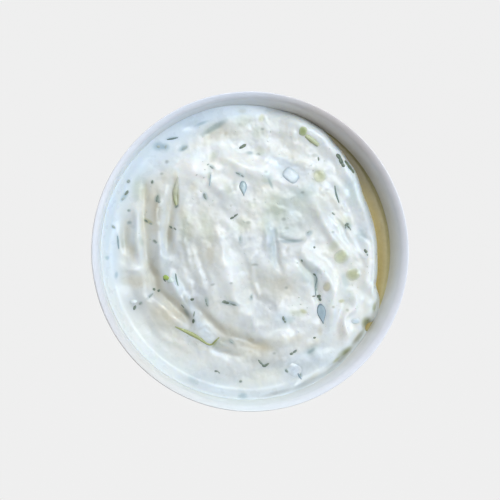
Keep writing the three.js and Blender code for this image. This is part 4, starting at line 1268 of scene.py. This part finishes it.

# %% [markdown]
# ## Laying the dill
#
# Each row is one fleck: x, y, length, width, turn in degrees, and its veil, which is how far it has sunk into
# the yogurt. They are listed one by one rather than scattered, because real dill falls in clusters.
# Flecks that lie close together at different turns make its forks and stars.

# %% Lay the dill
DILL = [
    (-1.7, 35.4, 2.9, 1.1, 32, 0.0), (-21.3, 34.6, 2.6, 0.7, 32, 0.6), (-12.4, 28.2, 1.6, 0.6, -35, 0.5),
    (-13.6, 29.1, 1.2, 0.5, 20, 0.6), (-14.6, 18.5, 2.4, 1.0, -70, 0.4), (-40, 23.5, 1.4, 1.1, 20, 0.4),
    (-32.1, 23.3, 1.4, 0.9, 80, 0.2), (-40.6, 19.6, 2.0, 1.0, 55, 0.2), (-41.8, 17.6, 1.8, 0.9, 50, 0.6),
    (-30.5, 17.7, 2.6, 0.9, 80, 0.2), (-29.9, 16.6, 1.4, 0.9, 60, 0.5), (-24, 15.2, 1.5, 0.8, 45, 0.3),
    (-34, 10.2, 2.0, 0.8, -35, 0.2), (-32.6, 9.3, 1.4, 0.7, -15, 0.5), (-25.9, 8.2, 1.6, 0.7, -30, 0.1),
    (-24.6, 7.6, 1.3, 0.6, -45, 0.3), (-39.7, 9.7, 1.2, 0.8, 0, 0.6), (-44.9, 8.2, 1.7, 0.7, -40, 0.5),
    (-5.5, 11.3, 1.8, 0.8, 30, 0.1), (-4.2, 12.2, 1.8, 0.7, 38, 0.1), (-7.4, -17, 2.6, 1.0, -4, 0.1),
    (-5.2, -17.6, 2.6, 0.6, -12, 0.3), (-8.2, -16.6, 1.6, 0.8, 20, 0.3), (-14.2, -16.2, 1.5, 0.6, -80, 0.4),
    (-13.8, -17.6, 1.4, 0.6, -70, 0.4), (-18.8, -15.9, 1.4, 0.9, 5, 0.0), (-31.3, -12.6, 1.2, 1.0, 60, 0.0),
    (-29.7, -13, 1.2, 0.9, 30, 0.1), (-32.4, -14.6, 2.4, 0.6, 44, 0.4), (-37.8, -18.6, 1.8, 1.1, 70, 0.1),
    (-35.9, -17.2, 1.1, 0.8, 40, 0.4), (-18.2, -20.8, 1.8, 0.6, 80, 0.3), (-18.4, -23.2, 1.6, 1.0, 80, 0.0),
    (-21.9, -18.2, 1.7, 0.7, -45, 0.3), (-10.5, -39.9, 1.3, 0.7, -10, 0.2),
    (-9.6, -40.4, 1.2, 0.5, -40, 0.4), (-2.3, -43.4, 1.0, 0.9, 0, 0.3), (11.9, -22.3, 1.9, 0.9, -75, 0.2),
    (12.5, -23.4, 1.2, 0.8, -40, 0.2), (4.3, -37, 2.8, 0.8, -50, 0.2), (6.3, -37.9, 2.2, 0.9, 35, 0.1),
    (5.4, -38.2, 1.4, 1.0, 0, 0.1), (14.8, -34.2, 1.8, 1.0, 31, 0.2), (16, -33.4, 1.7, 0.9, 38, 0.2),
    (22.7, -28.8, 1.1, 0.8, 0, 0.1), (13.3, -39.9, 1.5, 1.0, -30, 0.3), (17.9, -41.4, 1.3, 0.8, 60, 0.4),
    (30.6, 32.2, 2.3, 1.5, -50, 0.0), (31.4, 30.7, 2.6, 1.4, -66, 0.0), (32.1, 29.3, 1.8, 1.1, -60, 0.1),
    (33.5, 30.1, 2.4, 1.6, -45, 0.0), (34.5, 28.7, 2.8, 1.9, -52, 0.0), (35.5, 27.4, 2.0, 1.5, -50, 0.0),
    (33.4, 9.3, 1.8, 0.8, 28, 0.1), (33.9, 8.6, 1.8, 0.7, -50, 0.1), (34.6, 7.8, 1.2, 0.5, -60, 0.3),
    (33, 8.4, 1.1, 0.5, 80, 0.3), (39.8, 0.4, 1.6, 1.1, -55, 0.1), (40.4, -0.8, 1.0, 0.6, -70, 0.4),
    (28.9, 12.9, 1.4, 0.5, -40, 0.2), (22.4, 1.6, 0.9, 0.8, 0, 0.1), (23.9, 31.4, 1.6, 0.5, -80, 0.2),
    (18.1, -2.9, 1.0, 0.8, -50, 0.3), (22.5, -7.6, 1.2, 0.8, -40, 0.1), (22.2, -14.8, 1.2, 0.5, 5, 0.1),
    (24, -14.8, 1.9, 1.1, 12, 0.1), (24.4, -15.8, 1.6, 1.2, -50, 0.1), (23, -12.6, 1.2, 0.8, 80, 0.3),
    (-28, -9.4, 1.7, 0.8, -50, 0.0), (-30, 35.1, 1.5, 1.0, 0, 0.6), (-27.6, 35, 1.3, 0.7, 60, 0.6),
    (-3.6, 26.2, 1.7, 0.6, -20, 0.4), (-2, 25.4, 1.3, 0.6, -50, 0.4), (1.2, -15.1, 1.7, 0.7, 70, 0.6),
    (36.5, -23.2, 0.9, 0.8, 0, 0.3), (-31.3, 3.5, 1.4, 0.7, -40, 0.3), (20.4, 6.6, 1.3, 0.8, 30, 0.6),
    (-5.4, -30.2, 1.6, 0.7, -40, 0.6), (-2.7, 4.3, 1.7, 0.8, 80, 0.7), (-39.9, 13.7, 0.8, 0.7, 0, 0.5),
    (-30.8, 3, 0.9, 0.6, 20, 0.5),
]
DILL_THICKNESS, DILL_SINK = 0.5, 0.62
dill = run_tree("dill_flecks", carrier_points("dill_points", DILL, DILL_THICKNESS, DILL_SINK), sliver_tree(),
                {"Raggedness": 0.5 * MM, "Seed": 4.0, "Material": dill_look})


# %% [markdown]
# ## Crumbs
#
# Between the flecks lie fine crumbs of dill and peel, far too many to place by hand. Distribute Points on
# Faces scatters them over the top of the dip with a fixed seed, as densely as an attribute of the mesh says.
# Poisson spacing keeps them from lying on each other.


# %% The tree that scatters crumbs
def crumb_tree():
    """Small balls of random size and turn, scattered over a surface."""
    inputs = [("Density", "Float"), ("Spacing", "Float"), ("Smallest", "Vector"), ("Largest", "Vector"),
              ("Seed", "Int"), ("Material", "Material")]
    tree, start, end = start_tree("crumbs", inputs)
    new, link = tree.nodes.new, tree.links.new
    spread = new("GeometryNodeDistributePointsOnFaces")
    spread.distribute_method = "POISSON"
    link(start.outputs["Geometry"], spread.inputs["Mesh"])
    link(start.outputs["Spacing"], spread.inputs["Distance Min"])
    link(start.outputs["Density"], spread.inputs["Density Max"])
    link(named(tree, "FLOAT", "crumbs"), spread.inputs["Density Factor"])
    link(start.outputs["Seed"], spread.inputs["Seed"])
    size, turn = new("FunctionNodeRandomValue"), new("FunctionNodeRandomValue")
    size.data_type, turn.data_type = "FLOAT_VECTOR", "FLOAT_VECTOR"
    link(start.outputs["Smallest"], size.inputs[0])
    link(start.outputs["Largest"], size.inputs[1])
    link(start.outputs["Seed"], size.inputs["Seed"])
    turn.inputs[1].default_value = (0.0, 0.0, 2 * math.pi)
    spin = new("FunctionNodeRotateRotation")
    spin.rotation_space = "LOCAL"
    link(spread.outputs["Rotation"], spin.inputs["Rotation"])
    link(turn.outputs[0], spin.inputs["Rotate By"])
    ball = new("GeometryNodeMeshIcoSphere")
    ball.inputs["Radius"].default_value = 0.5
    place = new("GeometryNodeInstanceOnPoints")
    link(spread.outputs["Points"], place.inputs["Points"])
    link(ball.outputs["Mesh"], place.inputs["Instance"])
    link(spin.outputs["Rotation"], place.inputs["Rotation"])
    link(size.outputs[0], place.inputs["Scale"])
    end_tree(tree, start, end, place.outputs["Instances"])
    return tree


# %% [markdown]
# ## Scattering the crumbs
#
# Crumbs lie thickly in some places and hardly at all in others, and none lie in the thin yogurt at the wall.
# A copy of the dip carries that as a number at each of its points.

# %% Scatter the crumbs
CRUMB_REACH = 45
CRUMB_DEPTH = 3
CRUMB_CLUSTER, CRUMB_SEED = 7, 51


def crumb_carrier():
    """A copy of the dip with the wanted density of crumbs at each point."""
    mesh = dip.data.copy()
    co = np.empty(3 * len(mesh.vertices))
    mesh.vertices.foreach_get("co", co)
    x, y, z = co.reshape(-1, 3).T / MM
    on_top = (z > LEVEL - CRUMB_DEPTH) & (np.hypot(x, y) < CRUMB_REACH)
    clusters = ease(-0.5, 0.8, lumps(x, y, CRUMB_CLUSTER, CRUMB_SEED))
    density = on_top * thick_part(x, y) * clusters
    mesh.attributes.new("crumbs", "FLOAT", "POINT").data.foreach_set("value", density.astype(float))
    return add_object("crumb_carrier", mesh)


crumbs = run_tree("crumbs", crumb_carrier(), crumb_tree(), {
    "Density": 6e4, "Spacing": 1.9 * MM, "Smallest": (0.3 * MM, 0.2 * MM, 0.12 * MM),
    "Largest": (0.9 * MM, 0.4 * MM, 0.2 * MM), "Seed": 6, "Material": crumb_look,
})

# %% [markdown]
# ## Seeds, slices and chunks of cucumber
#
# These larger pieces lie half sunk in the dip, like blisters under its skin. Each row has the kind of piece,
# its place, its length and width, its turn, how far it stands proud, how much it narrows to one end, how
# square it is, and its colour inside and at the rim.

# %% Sizes of the larger pieces
CUCUMBER = [
    ("seed", (-1.7, 21.2), (5.4, 2.9), -86, 0.5, 0.8, 2.0, (0.50, 0.62, 0.67), (0.33, 0.41, 0.44)),
    ("seed", (25.0, -20.8), (7.2, 3.1), -80, 0.55, 0.75, 2.0, (0.54, 0.67, 0.76), (0.20, 0.27, 0.31)),
    ("chunk", (14.4, 25.7), (5.8, 4.4), -38, 0.6, 0.0, 3.2, (0.77, 0.85, 0.90), (0.63, 0.70, 0.74)),
    ("slice", (24.2, 25.6), (6.4, 6.2), 0, 0.04, 0.0, 2.2, (0.64, 0.66, 0.46), (0.82, 0.83, 0.78)),
    ("slice", (35.7, -7.4), (6.4, 5.6), 15, 0.08, 0.0, 2.2, (0.58, 0.60, 0.40), (0.82, 0.83, 0.78)),
    ("slice", (31.4, -1.4), (6.4, 5.6), 50, 0.08, 0.2, 2.2, (0.74, 0.77, 0.55), (0.82, 0.84, 0.78)),
    ("skin", (26.5, -11.6), (4.0, 3.0), 85, 0.1, 0.1, 2.2, (0.72, 0.69, 0.54), (0.85, 0.85, 0.81)),
    ("peel", (18.4, 40.6), (3.2, 2.7), 80, 0.3, 0.0, 3.0, (0.42, 0.48, 0.24), (0.62, 0.67, 0.44)),
    ("peel", (-27.5, -8.7), (2.2, 1.6), -40, 0.6, 0.1, 2.4, (0.50, 0.68, 0.16), (0.45, 0.55, 0.25)),
    # A raised blister whose pale colour is a painted highlight beside the lime peel.
    ("chunk", (-26.1, -9.5), (2.4, 2.0), 10, 0.5, 0.0, 2.6, (0.80, 0.92, 0.88), (0.80, 0.86, 0.84)),
    ("chunk", (15.8, -39.7), (5.4, 4.6), -30, 0.2, 0.0, 3.0, (0.74, 0.80, 0.87), (0.78, 0.82, 0.84)),
    # A raised blister whose pale colour is a painted highlight.
    ("chunk", (-38.2, -16.7), (2.6, 1.6), 0, 0.5, 0.1, 2.4, (0.88, 0.92, 0.94), (0.82, 0.86, 0.84)),
    ("chunk", (36.5, -23.2), (3.0, 2.0), 0, 0.3, 0.0, 2.4, (0.70, 0.80, 0.87), (0.78, 0.83, 0.84)),
]
PIECE_RINGS = (0.3, 0.55, 0.72, 0.84, 0.93, 0.98, 1.0)
PIECE_SECTORS = 36
RIM_SINK = 0.3
THIN_RISE = 0.4
THIN_RIM, THICK_RIM = (0.35, 0.95), (0.7, 0.93)
print(len(CUCUMBER), "larger pieces")

# %% [markdown]
# ## Making the larger pieces
#
# Each outline is a superellipse, narrowed at one end for a seed and squarer for a cut block. A sphere pressed
# flat could do for a seed, but not for a slice that drapes over a ridge. So the top follows the dip's own
# surface, raised in the middle and sunk at the rim, and no gap can show, whatever the dip does below it.


# %% Make the larger pieces
def piece_points(at, size, turn, rise, narrow, square):
    """Ring by ring: the place of each point, its height above the dip and its share of the way to the rim."""
    angle = np.arange(PIECE_SECTORS) * 2 * math.pi / PIECE_SECTORS
    c, s = np.cos(angle), np.sin(angle)
    edge = (np.abs(c) ** square + np.abs(s) ** square) ** (-1 / square)
    u, v = edge * c, edge * s
    v = v * (1 - narrow * ease(-0.4, 1.1, u))
    rho = np.concatenate([[0.0], np.repeat(PIECE_RINGS, PIECE_SECTORS)])
    u = np.concatenate([[0.0], np.tile(u, len(PIECE_RINGS))]) * rho * size[0] / 2
    v = np.concatenate([[0.0], np.tile(v, len(PIECE_RINGS))]) * rho * size[1] / 2
    t = math.radians(turn)
    x = at[0] + u * math.cos(t) - v * math.sin(t)
    y = at[1] + u * math.sin(t) + v * math.cos(t)
    height = (rise + RIM_SINK) * np.sqrt(1 - rho**4) - RIM_SINK
    return x, y, height, rho


def piece_faces(start, below):
    """Faces of one piece: a fan in the middle, its rings, and a fan to one point below it."""
    faces = []
    for i in range(PIECE_SECTORS):
        faces.append((start, start + 1 + i, start + 1 + (i + 1) % PIECE_SECTORS))
    for ring in range(len(PIECE_RINGS) - 1):
        inner = start + 1 + ring * PIECE_SECTORS
        faces += ring_faces(inner + PIECE_SECTORS, inner, PIECE_SECTORS)
    outer = below - PIECE_SECTORS
    return faces + [(outer + i, below, outer + (i + 1) % PIECE_SECTORS) for i in range(PIECE_SECTORS)]


def cucumber_pieces():
    """All the larger pieces in one mesh. A thin slice shows its rim more broadly than a thick piece."""
    points, faces, colours = [], [], []
    for _, at, size, turn, rise, narrow, square, inside, rim in CUCUMBER:
        x, y, height, rho = piece_points(at, size, turn, rise, narrow, square)
        z = dip_height(x, y) + height
        start = len(points)
        points += np.stack([x, y, z], 1).tolist()
        rim_start, rim_end = THIN_RIM if rise < THIN_RISE else THICK_RIM
        share = ease(rim_start, rim_end, rho)[:, None]
        colours += (np.array(inside) * (1 - share) + np.array(rim) * share).tolist()
        faces += piece_faces(start, len(points))
        points.append([at[0], at[1], z.min() - RIM_SINK])
        colours.append(list(rim))
    return make_piece("cucumber_pieces", points, faces, np.array(colours))


cucumber = cucumber_pieces()
cucumber.data.materials.append(cucumber_look)
print("cucumber", len(cucumber.data.polygons), "faces")

# %% [markdown]
# ## Strips of peel, a stem and long leaves
#
# Grated peel, stems and the longest leaves are thin lines, so each is a path. A row has its first and its
# last colour, and the points of the path, with a width at each.

# %% Paths of the strips
STRIPS = [
    ("tan and olive peel", (0.78, 0.77, 0.70), (0.46, 0.50, 0.26), [
        (-23.6, 25, 0.5), (-24, 22.6, 1.2), (-24.3, 20, 1.8), (-24.2, 17.4, 1.7), (-24, 15.4, 0.6),
    ]),
    ("lime peel", (0.56, 0.60, 0.36), (0.58, 0.62, 0.42), [
        (19.4, 39.2, 1.3), (21.3, 37.9, 1.8), (23.8, 36, 1.4),
    ]),
    ("olive sliver", (0.50, 0.54, 0.26), (0.33, 0.36, 0.13), [
        (-24.4, -25, 0.3), (-21.6, -26.2, 1.0), (-18.9, -27.5, 1.4), (-16.2, -29, 1.1), (-13.9, -30.6, 0.7),
        (-12.2, -31, 0.6), (-11.1, -30, 0.5), (-9.6, -28.6, 0.3),
    ]),
    ("lower stem", (0.34, 0.42, 0.42), (0.28, 0.36, 0.35), [
        (22.8, -7.8, 0.3), (23.3, -9.3, 0.45), (22.8, -12, 0.45), (22.9, -14.6, 0.4),
    ]),
    ("leaf in the peel", (0.14, 0.22, 0.20), (0.20, 0.30, 0.26), [
        (-24.3, -7.3, 0.3), (-24.1, -9.5, 0.6), (-23.6, -11.4, 0.3),
    ]),
    ("strip by the chunk", (0.36, 0.44, 0.52), (0.30, 0.38, 0.44), [
        (15.9, -39, 0.5), (17.2, -41, 0.7), (18.4, -42.8, 0.4),
    ]),
    ("leaf on the facet", (0.20, 0.27, 0.26), (0.10, 0.16, 0.13), [
        (29.4, 22.4, 0.3), (29.9, 19.3, 0.7), (30.8, 16.6, 0.3),
    ]),
    ("leaf on the apron", (0.16, 0.22, 0.22), (0.20, 0.27, 0.27), [
        (-27.2, 37.5, 0.3), (-25.4, 37.8, 0.6), (-23.5, 38.2, 0.3),
    ]),
    ("leaf at the wall", (0.30, 0.40, 0.44), (0.34, 0.44, 0.48), [
        (-43.6, 5.2, 0.3), (-43.4, 3, 0.6), (-43.2, 0.9, 0.3),
    ]),
    ("blue strands", (0.48, 0.60, 0.64), (0.52, 0.64, 0.68), [
        (-12.7, 25.8, 0.3), (-12.9, 24, 0.4), (-13.2, 22, 0.3),
    ]),
]
print(len(STRIPS), "strips")

# %% [markdown]
# ## Sweeping the strips
#
# A bevelled curve would be round all along. So a second tree turns the paths to curves, smooths them and
# sweeps a flat oval along them, as wide as the attribute at each point says. Z Up keeps the oval lying flat.


# %% Sweep the strips
def strip_tree():
    """A flat oval swept along smooth paths, with closed ends."""
    inputs = [("Step", "Float"), ("Flatness", "Vector"), ("Material", "Material")]
    tree, start, end = start_tree("strips", inputs)
    new, link = tree.nodes.new, tree.links.new
    curve, spline = new("GeometryNodeMeshToCurve"), new("GeometryNodeCurveSplineType")
    spline.spline_type = "CATMULL_ROM"
    even, upright = new("GeometryNodeResampleCurve"), new("GeometryNodeSetCurveNormal")
    even.mode, upright.mode = "LENGTH", "Z_UP"
    sweep = new("GeometryNodeCurveToMesh")
    oval, flat = new("GeometryNodeCurvePrimitiveCircle"), new("GeometryNodeTransform")
    oval.inputs["Resolution"].default_value = 10
    oval.inputs["Radius"].default_value = 0.5
    sweep.inputs["Fill Caps"].default_value = True
    link(start.outputs["Geometry"], curve.inputs["Mesh"])
    link(curve.outputs["Curve"], spline.inputs["Curve"])
    link(spline.outputs["Curve"], even.inputs["Curve"])
    link(start.outputs["Step"], even.inputs["Length"])
    link(even.outputs["Curve"], upright.inputs["Curve"])
    link(upright.outputs["Curve"], sweep.inputs["Curve"])
    link(named(tree, "FLOAT", "width"), sweep.inputs["Scale"])
    link(oval.outputs["Curve"], flat.inputs["Geometry"])
    link(start.outputs["Flatness"], flat.inputs["Scale"])
    link(flat.outputs["Geometry"], sweep.inputs["Profile Curve"])
    end_tree(tree, start, end, sweep.outputs["Mesh"])
    return tree


def strip_carrier(steps=4, lift=0.02):
    """Paths on the dip, with a width in metres and a tint at each point."""
    points, edges, widths, colours = [], [], [], []
    for _, first, last, rows in STRIPS:
        line = smooth_line([row[:2] for row in rows], steps)
        width = np.interp(np.arange(len(line)) / steps, np.arange(len(rows)), [row[2] for row in rows])
        share = np.linspace(0, 1, len(line))[:, None]
        start = len(points)
        z = dip_height(line[:, 0], line[:, 1]) + lift
        points += np.stack([line[:, 0], line[:, 1], z], 1).tolist()
        edges += [(start + i, start + i + 1) for i in range(len(line) - 1)]
        widths += (width * MM).tolist()
        colours += (np.array(first) * (1 - share) + np.array(last) * share).tolist()
    mesh = bpy.data.meshes.new("strip_paths")
    mesh.from_pydata((np.array(points) * MM).tolist(), edges, [])
    mesh.attributes.new("width", "FLOAT", "POINT").data.foreach_set("value", widths)
    add_tint(mesh, np.array(colours))
    return add_object("strip_paths", mesh)


strips = run_tree("strips", strip_carrier(), strip_tree(),
                  {"Step": 0.4 * MM, "Flatness": (1.0, 0.45, 1.0), "Material": cucumber_look})


# %% [markdown]
# ## Bodies
#
# Each piece rides on the part's only body and replaces the plain solid whose form it keeps. The toppings
# replace the dip too, because there they are one with it.

# %% Bodies
dressed = [
    (bowl, "bowl", "glaze"), (dip, "dip", "yogurt"), (whey, "whey", "oily_whey"), (dill, "dip", "dill"),
    (crumbs, "dip", "dill"), (cucumber, "dip", "cucumber"), (strips, "dip", "cucumber"),
]
for piece, node, slot in dressed:
    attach(piece, "root")
    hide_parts(node)
print(len(dressed), "pieces on the body")

# %% [markdown]
# ## The floor
#
# The bowl stands on a pale ground that glows evenly, so no shadow falls on it. It also sends light up to the
# underside of the lip. A plain plane with an Emission shader does that.

# %% The floor
FLOOR_SIZE = 900
FLOOR_DROP = 0.2


def floor_material():
    """Even pale grey with its own light, varied too little to be seen."""
    material, nodes, links, shader = new_material("pale_floor")
    glow = nodes.new("ShaderNodeEmission")
    links.new(noise_ramp(nodes, links, 4, grey(0.861), grey(0.865)), glow.inputs["Color"])
    links.new(glow.outputs[0], nodes["Material Output"].inputs["Surface"])
    nodes.remove(shader)
    return material


corners = [(FLOOR_SIZE * x, FLOOR_SIZE * y, -FLOOR_DROP) for x, y in ((-1, -1), (1, -1), (1, 1), (-1, 1))]
floor = make_piece("floor", corners, [(0, 1, 2, 3)])
floor.data.materials.append(floor_material())
print("floor", 2 * FLOOR_SIZE, "mm wide")

# %% [markdown]
# ## Lamps
#
# Two windows stand to the right and at the far side, high enough to reach over the rim, and a third soft
# light hangs almost overhead. Each lamp is a disc that is aimed at the middle of the rim. The one on the
# right is cool, as daylight is, so it sets off the warm tones of the furrows.


# %% Lamps
def softbox(name, azimuth, elevation, power, colour, distance=0.8, size=0.3):
    """A round lamp in this direction, in degrees, aimed at the middle of the rim."""
    light = bpy.data.lights.new(name, "AREA")
    light.shape = "DISK"
    light.size = size
    light.energy = power
    light.color = colour
    lamp = add_object(name, light)
    a, e = math.radians(azimuth), math.radians(elevation)
    away = distance * Vector((math.cos(a) * math.cos(e), math.sin(a) * math.cos(e), math.sin(e)))
    lamp.location = Vector((0, 0, RIM_HEIGHT * MM)) + away
    lamp.rotation_mode = "QUATERNION"
    lamp.rotation_quaternion = (-away).to_track_quat("-Z", "Y")
    return lamp


lamps = [
    softbox("right window", 20, 58, 2.1, (0.66, 0.83, 1.0)),
    softbox("far window", 70, 58, 1.93, (0.96, 0.98, 0.96)),
    softbox("overhead", 45, 75, 1.36, (0.97, 0.98, 0.95)),
]
print(len(lamps), "lamps")

# %% [markdown]
# ## The sky
#
# The studio round the bowl is pale along the horizon and dim above. The rim hides the horizon from most of
# the dip, so that glow brightens the lip and leaves the furrows deep. At the near left the sky is darker, as
# if somebody stood there, which lets the slopes that face that way fall into shade. A Background shader with
# a few math nodes gives all of it: a Map Range for the horizon, and a Dot Product for the dark side.

# %% The sky
HORIZON = (0.90, 0.95, 1.0)
OVERHEAD = tuple(0.26 * value for value in (0.96, 0.94, 0.91))
HORIZON_END, OVERHEAD_START = 0.22, 0.38
SKY_STRENGTH = 1.02
DARK_SIDE, DARKNESS, DARK_SHARPNESS = (-0.50, -0.85, 0.15), 0.85, 3


def sky_colour(nodes, links, place):
    """A cool glow along the horizon and a faint warm one above it."""
    split, band = nodes.new("ShaderNodeSeparateXYZ"), nodes.new("ShaderNodeMapRange")
    band.interpolation_type = "SMOOTHSTEP"
    band.inputs["From Min"].default_value = HORIZON_END
    band.inputs["From Max"].default_value = OVERHEAD_START
    colour = mix_colours(nodes, "MIX")
    colour.inputs[MIX_FIRST].default_value = (*HORIZON, 1)
    colour.inputs[MIX_SECOND].default_value = (*OVERHEAD, 1)
    links.new(place, split.inputs[0])
    links.new(split.outputs["Z"], band.inputs["Value"])
    links.new(band.outputs["Result"], colour.inputs["Factor"])
    return colour.outputs[MIX_RESULT]


def sky_strength(nodes, links, place):
    """The strength of the sky, which falls towards its dark side."""
    side = nodes.new("ShaderNodeVectorMath")
    side.operation = "DOT_PRODUCT"
    side.inputs[1].default_value = DARK_SIDE
    links.new(place, side.inputs[0])
    value = side.outputs["Value"]
    steps = [("MAXIMUM", 0, 0), ("POWER", DARK_SHARPNESS, 0),
             ("MULTIPLY_ADD", -DARKNESS * SKY_STRENGTH, SKY_STRENGTH)]
    for operation, second, third in steps:
        step = nodes.new("ShaderNodeMath")
        step.operation = operation
        step.inputs[1].default_value = second
        step.inputs[2].default_value = third
        links.new(value, step.inputs[0])
        value = step.outputs[0]
    return value


world = bpy.data.worlds.new("studio")
bpy.context.scene.world = world
world.use_nodes = True
nodes, links = world.node_tree.nodes, world.node_tree.links
direction = nodes.new("ShaderNodeTexCoord").outputs["Generated"]
links.new(sky_colour(nodes, links, direction), nodes["Background"].inputs["Color"])
links.new(sky_strength(nodes, links, direction), nodes["Background"].inputs["Strength"])
print("sky of strength", SKY_STRENGTH)

# %% [markdown]
# ## Camera
#
# The camera looks almost straight down, leaning a little to the left, so more of the right wall shows than of
# the left. It stands well back, which keeps the bowl round, and its lens is set so that the view spans the
# given width at the height of the rim.

# %% Camera
VIEW_DISTANCE = 700
VIEW_WIDTH = 165.25
VIEW_TILT = math.radians(8)
VIEW_SIDE = math.radians(190)
TARGET = (-0.661, 0.3966, RIM_HEIGHT)
SENSOR = 36
camera = add_object("camera", bpy.data.cameras.new("camera"))
camera.data.sensor_width = SENSOR
camera.data.lens = SENSOR * VIEW_DISTANCE / VIEW_WIDTH
back = Vector((math.sin(VIEW_TILT) * math.cos(VIEW_SIDE), math.sin(VIEW_TILT) * math.sin(VIEW_SIDE),
               math.cos(VIEW_TILT)))
right = Vector((0, 1, 0)).cross(back).normalized()
turned = Matrix((right, back.cross(right), back)).transposed().to_4x4()
camera.matrix_world = Matrix.Translation((Vector(TARGET) + VIEW_DISTANCE * back) * MM) @ turned
bpy.context.scene.camera = camera
bpy.context.scene.view_settings.view_transform = "Standard"
print("lens", round(camera.data.lens, 1), "mm")
